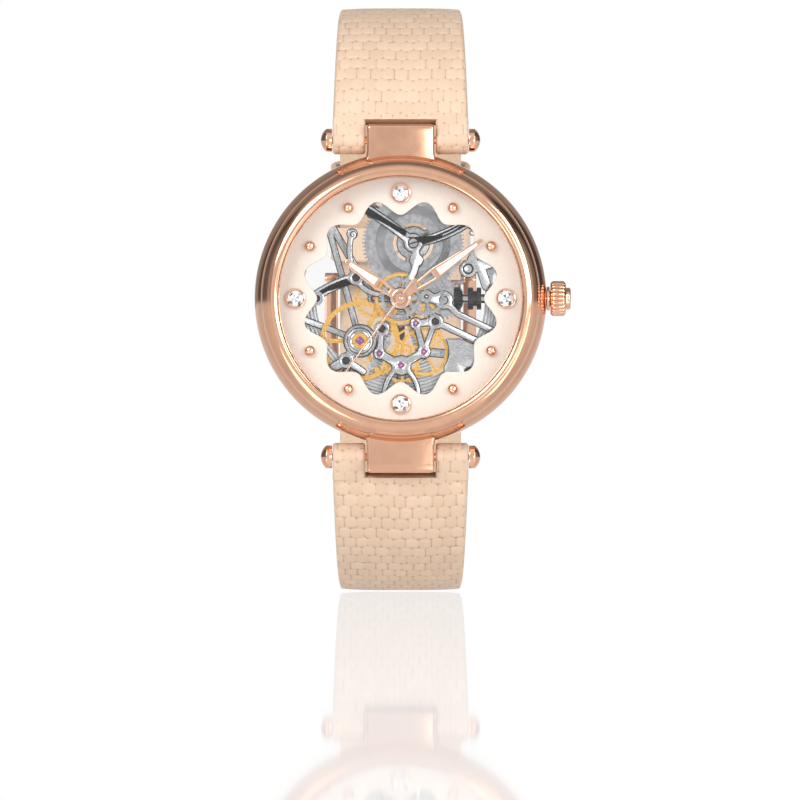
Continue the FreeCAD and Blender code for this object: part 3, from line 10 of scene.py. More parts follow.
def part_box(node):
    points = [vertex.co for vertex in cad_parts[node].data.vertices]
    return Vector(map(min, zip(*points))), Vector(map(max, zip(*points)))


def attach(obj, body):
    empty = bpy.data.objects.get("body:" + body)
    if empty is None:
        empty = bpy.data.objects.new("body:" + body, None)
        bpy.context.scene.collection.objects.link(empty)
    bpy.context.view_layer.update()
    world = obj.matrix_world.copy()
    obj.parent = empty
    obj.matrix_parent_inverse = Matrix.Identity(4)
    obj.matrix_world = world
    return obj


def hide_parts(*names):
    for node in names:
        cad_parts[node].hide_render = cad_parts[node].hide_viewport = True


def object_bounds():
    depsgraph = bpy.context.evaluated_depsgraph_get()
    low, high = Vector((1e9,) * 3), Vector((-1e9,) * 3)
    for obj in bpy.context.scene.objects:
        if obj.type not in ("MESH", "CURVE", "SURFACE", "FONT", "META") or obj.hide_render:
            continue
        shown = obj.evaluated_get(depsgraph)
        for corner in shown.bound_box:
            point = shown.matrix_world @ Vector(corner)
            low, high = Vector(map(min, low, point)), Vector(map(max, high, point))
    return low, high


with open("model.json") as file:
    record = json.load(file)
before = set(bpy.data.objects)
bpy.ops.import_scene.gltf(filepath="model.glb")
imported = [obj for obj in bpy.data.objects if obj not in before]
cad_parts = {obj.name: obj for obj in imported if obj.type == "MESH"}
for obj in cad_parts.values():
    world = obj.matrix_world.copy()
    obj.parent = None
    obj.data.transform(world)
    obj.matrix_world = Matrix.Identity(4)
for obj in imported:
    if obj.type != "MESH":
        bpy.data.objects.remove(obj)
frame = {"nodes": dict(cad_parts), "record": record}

cad_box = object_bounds()
random.seed(7)
MM = 0.001
CENTRE = (0.0, 0.0)
SAME_SPOT = 2e-7       # metres: points closer than this are one
SHARP_EDGE = 0.6       # radians: an edge that turns more than this gets a bevel
# Below this, a face counts as a wall, and on plates and bridges it is painted dark as shade.
LEVEL_FACE = 0.93      # a face whose normal has less than this along the dial's axis is a wall
WIRE_FLATNESS = 0.6    # a wire's height against its width


# ---- frame and mesh helpers
# Shapes are written in the watch's own axes, in mm: x to 3 o'clock, y to 12, z out of the dial.
def row(x, y, z):
    return (x * MM, -z * MM, y * MM)


def local_box(node):
    """A CAD node's box in the watch's own axes, in mm: lowest and highest corner."""
    low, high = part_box(node)
    return ((low[0] / MM, low[2] / MM, -high[1] / MM), (high[0] / MM, high[2] / MM, -low[1] / MM))


def centre_of(node):
    low, high = local_box(node)
    return ((low[0] + high[0]) / 2, (low[1] + high[1]) / 2)


def top_of(node):
    return local_box(node)[1][2]


def bottom_of(node):
    return local_box(node)[0][2]


def pivot_of(joint):
    """A hinge's place in the watch's own axes, in mm, from the part's record."""
    joints = frame["record"]["behaviour"]["joints"]
    x, y, z = next(entry["pos_m"] for entry in joints if entry["name"] == joint)
    return x / MM, z / MM, -y / MM


def around(centre, radius, turn):
    """The point at a radius and a turn about a centre."""
    return centre[0] + radius * math.cos(turn), centre[1] + radius * math.sin(turn)


def between(first, last, share):
    """The point a share of the way from first to last."""
    return tuple(a + (b - a) * share for a, b in zip(first, last))


def ring_faces(rings, rows, closed=True, first=0):
    """Four-sided faces between neighbouring rings of points; closed joins the last ring to the first."""
    faces = []
    for ring in range(rings if closed else rings - 1):
        near, far = first + ring * rows, first + (ring + 1) % rings * rows
        for k in range(rows):
            m = (k + 1) % rows
            faces.append((near + k, far + k, far + m, near + m))
    return faces


def add_object(name, data):
    """A new object in the scene."""
    thing = bpy.data.objects.new(name, data)
    bpy.context.scene.collection.objects.link(thing)
    return thing


def as_mesh(thing):
    """The mesh that an object's curve or modifiers give."""
    bpy.context.view_layer.update()
    return bpy.data.meshes.new_from_object(thing.evaluated_get(bpy.context.evaluated_depsgraph_get()))


def new_mesh(name, points, faces):
    mesh = bpy.data.meshes.new(name)
    mesh.from_pydata([row(*point) for point in points], [], faces)
    return mesh


def make_piece(name, points, faces, material, body="case", replaced=(), angle=35):
    """A mesh piece from points in the watch's axes."""
    mesh = new_mesh(name, points, faces)
    tidy = bmesh.new()
    tidy.from_mesh(mesh)
    bmesh.ops.remove_doubles(tidy, verts=tidy.verts, dist=SAME_SPOT)
    bmesh.ops.recalc_face_normals(tidy, faces=tidy.faces)
    tidy.to_mesh(mesh)
    tidy.free()
    return finish_piece(add_object(name, mesh), material, body, replaced, angle)


def finish_piece(piece, material, body, replaced=(), angle=35):
    """Give a piece its material, shading and body, and hide the CAD nodes that it stands for."""
    if material:
        piece.data.materials.clear()
        piece.data.materials.append(material)
    piece.data.shade_smooth()
    mark_sharp(piece.data, angle)
    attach(piece, body)
    if replaced:
        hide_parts(*replaced)
    return piece


def mark_sharp(mesh, angle):
    """Edges sharper than the angle keep a hard line under smooth shading."""
    work = bmesh.new()
    work.from_mesh(mesh)
    limit = math.radians(angle)
    for edge in work.edges:
        edge.smooth = len(edge.link_faces) == 2 and edge.calc_face_angle(0) < limit
    work.to_mesh(mesh)
    work.free()


def lathe(name, profile, material, centre=(0, 0), body="case", replaced=(), count=192, angle=35):
    """A closed (radius, height) profile turned about a centre."""
    points = [(*around(centre, radius, 2 * math.pi * step / count), height)
              for step in range(count) for radius, height in profile]
    return make_piece(name, points, ring_faces(count, len(profile)), material, body, replaced, angle)


def arc_points(start, end, centre, count):
    """Points on the circle through start about a centre, turning the short way to end."""
    first = math.atan2(start[1] - centre[1], start[0] - centre[0])
    last = math.atan2(end[1] - centre[1], end[0] - centre[0])
    radius = math.dist(start, centre)
    sweep = (last - first + math.pi) % (2 * math.pi) - math.pi
    return [around(centre, radius, first + sweep * i / count) for i in range(count + 1)]


def bulge(start, end, radius, count=16):
    """An arc from start to end that bulges to the right of its travel."""
    mid = ((start[0] + end[0]) / 2, (start[1] + end[1]) / 2)
    dx, dy = end[0] - start[0], end[1] - start[1]
    chord = math.hypot(dx, dy)
    depth = math.sqrt(max(radius ** 2 - (chord / 2) ** 2, 0))
    centre = (mid[0] - dy / chord * depth, mid[1] + dx / chord * depth)
    return arc_points(start, end, centre, count)


def softened(node, material, width=0.06, body="case", segments=2, painted_shade_walls=None):
    """A CAD node rebuilt with bevels on its sharp edges; if asked, its upright walls and slanting bevel faces take a
    dark material as painted shade and painted dark reflection.

    The bevels aren't clamped, so they keep their width but may cross on a narrow face.
    """
    work = bmesh.new()
    work.from_mesh(frame["nodes"][node].data)
    bmesh.ops.remove_doubles(work, verts=work.verts, dist=1e-6)
    bmesh.ops.dissolve_limit(work, angle_limit=math.radians(1.5), verts=work.verts, edges=work.edges)
    sharp = [edge for edge in work.edges
             if len(edge.link_faces) == 2 and edge.calc_face_angle(0) > SHARP_EDGE]
    if width:
        bmesh.ops.bevel(work, geom=sharp, offset=width * MM, offset_type="OFFSET", segments=segments,
                        profile=0.5, affect="EDGES", clamp_overlap=False)
    name = node + "_finished"
    mesh = bpy.data.meshes.new(name)
    work.to_mesh(mesh)
    work.free()
    piece = finish_piece(add_object(name, mesh), material, body, (node,), 28)
    # Painted shade: faces that lean away from level, walls and bevels alike, get the dark material.
    if painted_shade_walls:
        mesh.materials.append(painted_shade_walls)
        for face in mesh.polygons:
            face.material_index = 1 if abs(face.normal.y) < LEVEL_FACE else 0
    return piece


def curve_mesh(name, curve, paths, closed):
    """The mesh of a curve through paths of points in metres."""
    for path in paths:
        line = curve.splines.new("POLY")
        line.points.add(len(path) - 1)
        line.use_cyclic_u = closed
        for point, spot in zip(line.points, path):
            point.co = (*spot, 1)
    holder = add_object(name + "_line", curve)
    mesh = as_mesh(holder)
    bpy.data.objects.remove(holder)
    mesh.name = name
    return mesh


def wire(name, path, radius, material):
    """A flattened wire along level points in the watch's axes."""
    curve = bpy.data.curves.new(name, "CURVE")
    curve.dimensions = "3D"
    curve.bevel_depth = radius * MM
    curve.bevel_resolution = 2
    curve.use_fill_caps = True
    mesh = curve_mesh(name, curve, [[row(*spot) for spot in path]], False)
    middle = -path[0][2] * MM
    for vertex in mesh.vertices:
        vertex.co.y = middle + (vertex.co.y - middle) * WIRE_FLATNESS
    return finish_piece(add_object(name, mesh), material, "case")


# ---- material helpers
def new_material(name):
    material = bpy.data.materials.new(name)
    material.use_nodes = True
    nodes = material.node_tree.nodes
    return material, nodes, material.node_tree.links, nodes["Principled BSDF"]


def set_inputs(node, values):
    for name, value in values.items():
        node.inputs[name].default_value = value


def noise(nodes, links, scale, detail=4.0, stretch=(1, 1, 1)):
    """Object-space noise, stretched for brushed or drawn surfaces."""
    place = nodes.new("ShaderNodeTexCoord")
    shape = nodes.new("ShaderNodeMapping")
    pattern = nodes.new("ShaderNodeTexNoise")
    set_inputs(shape, {"Scale": stretch})
    set_inputs(pattern, {"Scale": scale, "Detail": detail})
    links.new(place.outputs["Object"], shape.inputs["Vector"])
    links.new(shape.outputs["Vector"], pattern.inputs["Vector"])
    return pattern


def ramp(nodes, links, source, dark, light, low=0.3, high=0.7):
    band = nodes.new("ShaderNodeValToRGB")
    band.color_ramp.elements[0].position = low
    band.color_ramp.elements[1].position = high
    band.color_ramp.elements[0].color = (*dark, 1)
    band.color_ramp.elements[1].color = (*light, 1)
    links.new(source, band.inputs["Fac"])
    return band


def paint(nodes, links, shader, source, dark, light, low=0.3, high=0.7):
    """Colour a shader from dark to light by a source value."""
    tone = ramp(nodes, links, source, dark, light, low, high)
    links.new(tone.outputs["Color"], shader.inputs["Base Color"])


def multiply(nodes, links, first, second):
    """The product of two nodes' colours."""
    mix = nodes.new("ShaderNodeMix")
    mix.data_type = "RGBA"
    mix.blend_type = "MULTIPLY"
    mix.inputs["Factor"].default_value = 1.0
    links.new(first.outputs["Color"], mix.inputs["A"])
    links.new(second.outputs["Color"], mix.inputs["B"])
    return mix.outputs["Result"]


def add_math(nodes, links, kind, operation, source, value=None):
    """A math node fed by a source, with its second input set where a value is given."""
    step = nodes.new(kind)
    step.operation = operation
    links.new(source, step.inputs[0])
    if value is not None:
        step.inputs[1].default_value = value
    return step


def add_bump(nodes, links, shader, source, strength, distance):
    bump = nodes.new("ShaderNodeBump")
    set_inputs(bump, {"Strength": strength, "Distance": distance})
    links.new(source, bump.inputs["Height"])
    links.new(bump.outputs["Normal"], shader.inputs["Normal"])


def metal(name, dark, light, rough=(0.1, 0.2), scale=900.0, stretch=(1, 1, 1), bump=0.0):
    """A metal whose colour and gloss drift slightly, with an optional brushed or grained surface."""
    material, nodes, links, shader = new_material(name)
    shader.inputs["Metallic"].default_value = 1.0
    grain = noise(nodes, links, scale, 5.0, stretch).outputs["Fac"]
    paint(nodes, links, shader, grain, dark, light)
    gloss = nodes.new("ShaderNodeMapRange")
    set_inputs(gloss, {"To Min": rough[0], "To Max": rough[1]})
    links.new(grain, gloss.inputs["Value"])
    links.new(gloss.outputs["Result"], shader.inputs["Roughness"])
    if bump:
        add_bump(nodes, links, shader, grain, bump, 0.00002)
    return material


def ringed_metal(name, dark, light, centre, pitch, rough=0.22):
    """Metal with fine concentric turning lines about an axis through a centre."""
    material, nodes, links, shader = new_material(name)
    set_inputs(shader, {"Metallic": 1.0, "Roughness": rough})
    spot = nodes.new("ShaderNodeTexCoord").outputs["Object"]
    shift = add_math(nodes, links, "ShaderNodeVectorMath", "SUBTRACT", spot, row(centre[0], centre[1], 0))
    flat = add_math(nodes, links, "ShaderNodeVectorMath", "MULTIPLY", shift.outputs["Vector"], (1, 0, 1))
    radius = add_math(nodes, links, "ShaderNodeVectorMath", "LENGTH", flat.outputs["Vector"])
    beat = add_math(nodes, links, "ShaderNodeMath", "MULTIPLY", radius.outputs["Value"],
                    2 * math.pi / (pitch * MM))
    wave = add_math(nodes, links, "ShaderNodeMath", "SINE", beat.outputs["Value"])
    level = nodes.new("ShaderNodeMapRange")
    level.inputs["From Min"].default_value = -1.0
    links.new(wave.outputs["Value"], level.inputs["Value"])
    paint(nodes, links, shader, level.outputs["Result"], dark, light, 0.1, 0.9)
    add_bump(nodes, links, shader, level.outputs["Result"], 0.35, 0.00002)
    return material


def clear(name, tint, alpha, rough=0.02):
    """Thin clear glass with a trace of haze."""
    material, nodes, links, shader = new_material(name)
    haze = noise(nodes, links, 60.0, 2.0)
    paint(nodes, links, shader, haze.outputs["Fac"], tuple(c * 0.96 for c in tint), tint)
    set_inputs(shader, {"Roughness": rough, "Alpha": alpha, "IOR": 1.5})
    return material


def lacquer(name, dark, light, rough, scale, coat=0.3, bump=0.0):
    """A painted, enamelled or moulded surface with a fine grain and a clear coat."""
    material, nodes, links, shader = new_material(name)
    grain = noise(nodes, links, scale, 6.0).outputs["Fac"]
    paint(nodes, links, shader, grain, dark, light)
    set_inputs(shader, {"Roughness": rough, "Coat Weight": coat, "Coat Roughness": 0.08})
    if bump:
        add_bump(nodes, links, shader, grain, bump, 0.00003)
    return material


def leather():
    """Beige leather: each scale has its own tint; the grooves between are darker brown, partly the leather's own colour
    and partly painted shade.
    """
    material, nodes, links, shader = new_material("leather_lizard")
    scale = nodes.new("ShaderNodeAttribute")
    scale.attribute_name = "scale"
    split = nodes.new("ShaderNodeSeparateColor")
    links.new(scale.outputs["Color"], split.inputs["Color"])
    groove = ramp(nodes, links, split.outputs["Red"], (0.43, 0.285, 0.19), (0.68, 0.50, 0.365), 0.0, 0.45)
    tint = ramp(nodes, links, split.outputs["Green"], (0.93, 0.91, 0.89), (1.0, 1.0, 1.0), 0.0, 1.0)
    links.new(multiply(nodes, links, groove, tint), shader.inputs["Base Color"])
    pores = noise(nodes, links, 5200.0, 8.0)
    add_bump(nodes, links, shader, pores.outputs["Fac"], 0.22, 0.00006)
    set_inputs(shader, {"Roughness": 0.52, "Sheen Weight": 0.1})
    return material


def lining():
    """The strap's smooth underside."""
    material, nodes, links, shader = new_material("leather_lining")
    fibre = noise(nodes, links, 2600.0, 9.0).outputs["Fac"]
    paint(nodes, links, shader, fibre, (0.56, 0.40, 0.27), (0.68, 0.50, 0.36))
    add_bump(nodes, links, shader, fibre, 0.4, 0.00008)
    shader.inputs["Roughness"].default_value = 0.78
    return material


def brilliant():
    """Cut stone: facets are painted light or dark by turns, as painted reflections."""
    material, nodes, links, shader = new_material("brilliant_stone")
    facet = nodes.new("ShaderNodeAttribute")
    facet.attribute_name = "facet"
    paint(nodes, links, shader, facet.outputs["Fac"], (0.06, 0.065, 0.07), (0.95, 0.97, 1.0), 0.25, 0.5)
    set_inputs(shader, {"Roughness": 0.04, "Metallic": 0.35, "Coat Weight": 1.0})
    return material


ROSE = metal("rose_gold_polished", (0.74, 0.42, 0.275), (0.80, 0.47, 0.315), (0.09, 0.14), 500.0)
ROSE_FINE = metal("rose_gold_bright", (0.80, 0.46, 0.31), (0.88, 0.53, 0.37), (0.05, 0.10), 800.0)
STEEL = metal("rhodium_satin", (0.36, 0.365, 0.375), (0.62, 0.63, 0.64), (0.18, 0.30), 1800.0,
              (1, 1, 6), 0.15)
# Grained rhodium for the mainplate; its tone is darker than the bridges' as painted shade on the lower level.
GRAINED_PLATE_SHADED = metal("rhodium_grained_painted_shade", (0.26, 0.265, 0.275), (0.52, 0.53, 0.54), (0.22, 0.38), 3200.0, bump=0.25)
POLISHED = metal("steel_polished", (0.36, 0.365, 0.38), (0.60, 0.61, 0.63), (0.08, 0.16), 1500.0)
# Blackened steel for screws, pinions and curls; the same dark steel is painted shade on walls, bevels and screw slots.
BLACKENED_AND_SHADE = metal("steel_blackened_and_painted_shade", (0.012, 0.012, 0.014), (0.05, 0.05, 0.055), (0.2, 0.35), 1500.0)
GILT = metal("gilt_brass", (0.78, 0.42, 0.08), (0.92, 0.56, 0.15), (0.16, 0.28), 1600.0, (1, 1, 4), 0.1)
CREAM = lacquer("dial_cream", (0.70, 0.61, 0.53), (0.74, 0.65, 0.57), 0.42, 2400.0, 0.25, 0.05)
DIAL_EDGE = metal("dial_cut_edge", (0.10, 0.08, 0.07), (0.25, 0.2, 0.17), (0.2, 0.4), 900.0)
LUME = lacquer("hand_inlay", (0.90, 0.82, 0.76), (0.96, 0.90, 0.85), 0.5, 1500.0, 0.1, 0.05)
RUBY = lacquer("ruby", (0.10, 0.01, 0.10), (0.26, 0.03, 0.24), 0.08, 400.0, 1.0)
NYLON = lacquer("holder_nylon", (0.62, 0.61, 0.60), (0.72, 0.71, 0.70), 0.55, 900.0, 0.0, 0.1)
CRYSTAL = clear("crystal_clear", (1.0, 1.0, 1.0), 0.02)
BACK_GLASS = clear("back_glass", (1.0, 1.0, 1.0), 0.06, 0.03)
SPRING = metal("spring_steel", (0.05, 0.05, 0.055), (0.42, 0.42, 0.44), (0.12, 0.25), 260.0, (1, 0.2, 1))
STONE = brilliant()
LEATHER = leather()
LINING = lining()
LEATHER_PLAIN = lacquer("leather_plain", (0.74, 0.54, 0.39), (0.80, 0.60, 0.445), 0.55, 3800.0, 0.0, 0.5)


# ---- strap
# These repeat the strap's driving dimensions in part.py, in mm.
PIN_Y, PIN_Z = 20.6, 4.8
STRAP_WIDTH, STRAP_NARROWING = 17.7, 1.7
STRAP_BACK_HALF, KEEPER_GAP = 0.95, 0.35
EYE_INNER, EYE_OUTER, EYE_RADIUS = 4.58, 8.83, 1.72
EYE_JOIN = 2.75        # distance along the strap where the eye closes into it
STRAP_STEP = 0.2
STRAP_COLUMNS, LINING_COLUMNS, EYE_COLUMNS = 96, 10, 26
TURN_R, TURN_Y, TURN_END = 21.0, 16.0, math.radians(50.0)
LEAN = math.acos((PIN_Y - TURN_Y) / TURN_R)
TURN_Z = PIN_Z - TURN_R * math.sin(LEAN)
BACK_R = (TURN_Y + TURN_R * math.cos(TURN_END)) / math.cos(TURN_END)
BACK_Z = TURN_Z - TURN_R * math.sin(TURN_END) + BACK_R * math.sin(TURN_END)
OVERLAP = 2.25
BEND_R = 15.0
BUCKLE_TURN = math.radians(3.4)
TAIL_TURN = math.radians(37.0)


class Track:
    """The middle line of a strap half in the y-z plane, as arcs and straight runs end to end."""

    def __init__(self, spot, heading):
        self.spot, self.heading, self.runs, self.length = Vector(spot), heading, [], 0.0

    def run(self, length, radius=None):
        """Add a stretch: straight, or bending to the right of its travel with a radius."""
        self.runs.append((self.length, length, self.spot.copy(), self.heading, radius))
        self.spot, self.heading = self.point_on(self.runs[-1], length)
        self.length += length

    @staticmethod
    def point_on(piece, along):
        _, _, spot, heading, radius = piece
        if radius is None:
            return spot + Vector((math.cos(heading), math.sin(heading))) * along, heading
        turn = along / radius
        centre = spot + Vector((math.sin(heading), -math.cos(heading))) * radius
        after = heading - turn
        return centre - Vector((math.sin(after), -math.cos(after))) * radius, after

    def at(self, distance):
        for piece in self.runs:
            if distance <= piece[0] + piece[1] or piece is self.runs[-1]:
                return self.point_on(piece, distance - piece[0])


def front_track():
    """From the pin over the turn to the large arc behind the wrist."""
    track = Track((PIN_Y, PIN_Z), math.atan2(-math.cos(LEAN), math.sin(LEAN)))
    track.run(TURN_R * (LEAN + TURN_END), TURN_R)
    return track


def buckle_track():
    track = front_track()
    track.run(BACK_R * (math.pi / 2 - TURN_END - BUCKLE_TURN), BACK_R)
    return track


def tail_track():
    track = front_track()
    outer = BACK_R + OVERLAP
    run = math.sqrt((outer - BEND_R) ** 2 - (BACK_R - BEND_R) ** 2)
    swing = math.atan2(run, BACK_R - BEND_R)
    track.run(BACK_R * (math.pi / 2 - TURN_END - swing), BACK_R)
    track.run(run)
    track.run(BEND_R * swing, BEND_R)
    track.run(outer * TAIL_TURN, outer)
    return track


SCALE_ALONG, SCALE_ACROSS = 1.62, 1.63


def scale_pattern(along, across, seed):
    """Height (0 to 1) and tint of lizard scales: uneven brick rows of rounded squares."""
    wavy = along + 0.12 * np.sin(across * 0.5 + seed) + 0.05 * np.sin(across * 1.3 + along * 0.4 + seed * 2)
    line = wavy / SCALE_ALONG
    index = np.floor(line)
    offset = np.mod(np.sin(index * 12.9898 + seed) * 43758.5453, 1.0)
    column = across / SCALE_ACROSS + 0.5 * np.mod(index, 2) + 0.16 * (offset - 0.5)
    column = column + 0.06 * np.sin(column * 2.1 + index * 1.7)
    cell = np.floor(column)
    lot = np.mod(np.sin(cell * 78.233 + index * 37.719 + seed) * 43758.5453, 1.0)
    a = np.abs(2 * (column - cell) - 1)
    b = np.abs(2 * (line - index) - 1)
    reach = (a ** 4 + (0.94 * b) ** 4) ** 0.25
    height = np.clip((1.03 - reach) / 0.22, 0, 1)
    height = height * height * (3 - 2 * height)
    return height * (0.86 + 0.14 * lot) + 0.10 * (1 - reach), height, lot


def strap_half_width(distance):
    taper = min(max((distance - 2.0) / 24.0, 0), 1)
    return (STRAP_WIDTH - STRAP_NARROWING * taper) / 2 - 0.02


def strap_half_thickness(distance):
    taper = min(max((distance - 22.0) / 14.0, 0), 1)
    taper = taper * taper * (3 - 2 * taper)
    return 1.2 - 0.25 * taper


def paint_scales(mesh, tints):
    """Store each point's groove depth and tint, which the leather material reads; the groove depth darkens low points,
    partly as painted shade.
    """
    layer = mesh.color_attributes.new("scale", "FLOAT_COLOR", "POINT")
    values = np.ones((len(tints), 4), dtype=np.float32)
    values[:, :2] = tints
    layer.data.foreach_set("color", values.ravel())


def finish_leather(piece, node=None):
    piece.data.shade_smooth()
    mark_sharp(piece.data, 50)
    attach(piece, "case")
    if node:
        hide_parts(node)


def strap_body(name, track, start, end, side, node, seed, point_length=0.0, slots=()):
    """One strap half from start to end along its track: grained top, rounded sides, flat lining."""
    columns, under = STRAP_COLUMNS, LINING_COLUMNS
    count = int((end - start) / STRAP_STEP) + 1
    across = np.linspace(-1, 1, columns)
    points, tints = [], []
    for distance in np.linspace(start, end, count):
        (y, z), heading = track.at(distance)
        normal = (-math.sin(heading), math.cos(heading))
        half = strap_half_thickness(distance)
        width = strap_half_width(distance)
        left = max(end - distance, 0.0)
        if left < point_length:
            width *= math.sqrt(max(1 - (1 - left / point_length) ** 2.2, 0.0004))
        xs = across * width
        relief, groove, lot = scale_pattern(np.full(columns, distance), xs, seed)
        edge = np.clip((1 - np.abs(across)) * width / 0.45, 0, 1)
        crown = half * (0.80 + 0.20 * (1 - np.abs(across) ** 4)) - 0.12
        crown -= 0.42 * half * (1 - np.sqrt(1 - (1 - edge) ** 2))
        crown += 0.13 * relief * np.clip(edge * 1.5, 0, 1)
        for k in range(columns):
            points.append((xs[k], y + normal[0] * crown[k], z + normal[1] * crown[k]))
            tints.append((groove[k] if edge[k] > 0.1 else 1.0, lot[k]))
        for k in range(under):
            x = width * (1 - 2 * k / (under - 1)) * 0.995
            depth = -half * (0.92 if k in (0, under - 1) else 1.0) + 0.01
            points.append((x, y + normal[0] * depth, z + normal[1] * depth))
            tints.append((1.0, 0.5))
    ring = columns + under
    faces = [(a, d, c, b) for a, b, c, d in ring_faces(count, ring, closed=False)]
    faces.append(tuple(range(ring)))
    faces.append(tuple((count - 1) * ring + k for k in reversed(range(ring))))
    linings = [int(k >= columns - 1) for k in range(ring)] * (count - 1) + [1, 1]
    mesh = new_mesh(name, [(x, side * y, z) for x, y, z in points], faces)
    paint_scales(mesh, tints)
    mesh.materials.append(LEATHER)
    mesh.materials.append(LINING)
    mesh.polygons.foreach_set("material_index", linings)
    mesh.update()
    if side > 0:
        mesh.flip_normals()
    piece = add_object(name, mesh)
    for slot in slots:
        cut_slot(piece, *slot)
    finish_leather(piece, node)


def cut_slot(piece, spot, size):
    """Cut a round-ended hole through the strap with a boolean."""
    hole = bpy.data.meshes.new("cutter")
    work = bmesh.new()
    bmesh.ops.create_cone(work, cap_ends=True, segments=32, radius1=0.5, radius2=0.5, depth=1)
    bmesh.ops.scale(work, verts=work.verts, vec=Vector(size) * MM)
    bmesh.ops.rotate(work, verts=work.verts, matrix=Matrix.Rotation(math.radians(90), 3, "X"))
    bmesh.ops.translate(work, verts=work.verts, vec=Vector(row(*spot)))
    work.to_mesh(hole)
    work.free()
    cutter = add_object("cutter", hole)
    change = piece.modifiers.new("slot", "BOOLEAN")
    change.operation = "DIFFERENCE"
    change.object = cutter
    change.solver = "EXACT"
    result = as_mesh(piece)
    piece.modifiers.clear()
    piece.data = result
    bpy.data.objects.remove(cutter)


def pin_loop(name, side, way, seed):
    """The leather eye that wraps the pin beside the lug block, closing into the strap."""
    columns = EYE_COLUMNS
    xs = np.linspace(EYE_INNER, EYE_OUTER, columns)
    wrap = []
    for k in range(30):
        turn = math.radians(78 + 212 * k / 29)
        wrap.append((*around((PIN_Y, PIN_Z), EYE_RADIUS, turn), math.cos(turn), math.sin(turn)))
    (y, z), heading = front_track().at(EYE_JOIN)
    normal = (-math.sin(heading), math.cos(heading))
    top = (y + normal[0] * 1.08, z + normal[1] * 1.08, *normal)
    low = (y - normal[0] * 1.12, z - normal[1] * 1.12, *wrap[-1][2:])
    path = [between(top, wrap[0], k / 10) for k in range(10)] + wrap
    path += [between(wrap[-1], low, k / 6) for k in range(1, 7)]
    along, points, tints = 0.0, [], []
    for i, (y, z, ny, nz) in enumerate(path):
        if i:
            along += math.dist((y, z), path[i - 1][:2])
        relief, groove, lot = scale_pattern(np.full(columns, EYE_JOIN - along), xs * way, seed)
        edge = np.clip(np.minimum(xs - EYE_INNER, EYE_OUTER - xs) / 0.3, 0, 1)
        lift = 0.12 * relief * edge - 0.16 * (1 - np.sqrt(1 - (1 - edge) ** 2))
        for k in range(columns):
            points.append((xs[k] * way, side * (y + ny * lift[k]), z + nz * lift[k]))
            tints.append((groove[k], lot[k]))
    count = len(path)
    faces = [(a, a + 1, a + columns + 1, a + columns)
             for i in range(count - 1) for a in range(i * columns, (i + 1) * columns - 1)]
    faces.append(tuple(i * columns for i in range(count)))
    faces.append(tuple(i * columns + columns - 1 for i in reversed(range(count))))
    faces.append(tuple(range(columns)) + tuple((count - 1) * columns + k for k in reversed(range(columns))))
    mesh = new_mesh(name, points, faces)
    paint_scales(mesh, tints)
    work = bmesh.new()
    work.from_mesh(mesh)
    bmesh.ops.recalc_face_normals(work, faces=work.faces)
    work.to_mesh(mesh)
    work.free()
    mesh.materials.append(LEATHER)
    finish_leather(add_object(name, mesh))


def build_strap():
    upper, lower = buckle_track(), tail_track()
    strap_body("strap_upper", upper, 2.45, upper.length, 1, "strap_12", 1.3)
    tail_z = BACK_Z - BACK_R - OVERLAP
    slots = [((0, -2.2, tail_z), (1.7, 7.3, 8.0))]
    strap_body("strap_lower", lower, 2.45, lower.length, -1, "strap_6", 4.1, 9.0, slots)
    for side, label in ((1, "upper"), (-1, "lower")):
        for way, hand in ((1, "right"), (-1, "left")):
            pin_loop(f"strap_eye_{label}_{hand}", side, way, 1.3 if side > 0 else 4.1)


def rounded_outline(half, low, high, corner):
    """Points round a rectangle with rounded corners, each with its outward direction."""
    outline = []
    for x, z, start in ((half - corner, low + corner, -90), (half - corner, high - corner, 0),
                        (corner - half, high - corner, 90), (corner - half, low + corner, 180)):
        for k in range(7):
            angle = math.radians(start + 15 * k)
            outline.append((*around((x, z), corner, angle), math.cos(angle), math.sin(angle)))
    return outline


def keeper(name, node, turn, body):
    """A leather loop with rounded edges round both strap layers."""
    half, wall, length, corner, bevel = 8.35, 0.86, 4.5, 0.8, 0.22
    gap = STRAP_BACK_HALF + KEEPER_GAP
    outline = rounded_outline(half, BACK_R - gap, BACK_R + OVERLAP + gap, corner)
    profile = [(0, -length / 2 + bevel), (0, length / 2 - bevel), (bevel, length / 2),
               (wall - bevel, length / 2), (wall, length / 2 - bevel), (wall, -length / 2 + bevel),
               (wall - bevel, -length / 2), (bevel, -length / 2)]
    points = []
    cosine, sine = math.cos(turn), math.sin(turn)
    for x, radius, nx, nr in outline:
        for out, along in profile:
            px, pr = x + nx * out, radius + nr * out
            points.append((px, along * cosine + pr * sine, BACK_Z + along * sine - pr * cosine))
    faces = ring_faces(len(outline), len(profile))
    piece = make_piece(name, points, faces, LEATHER_PLAIN, body, (node,), 40)


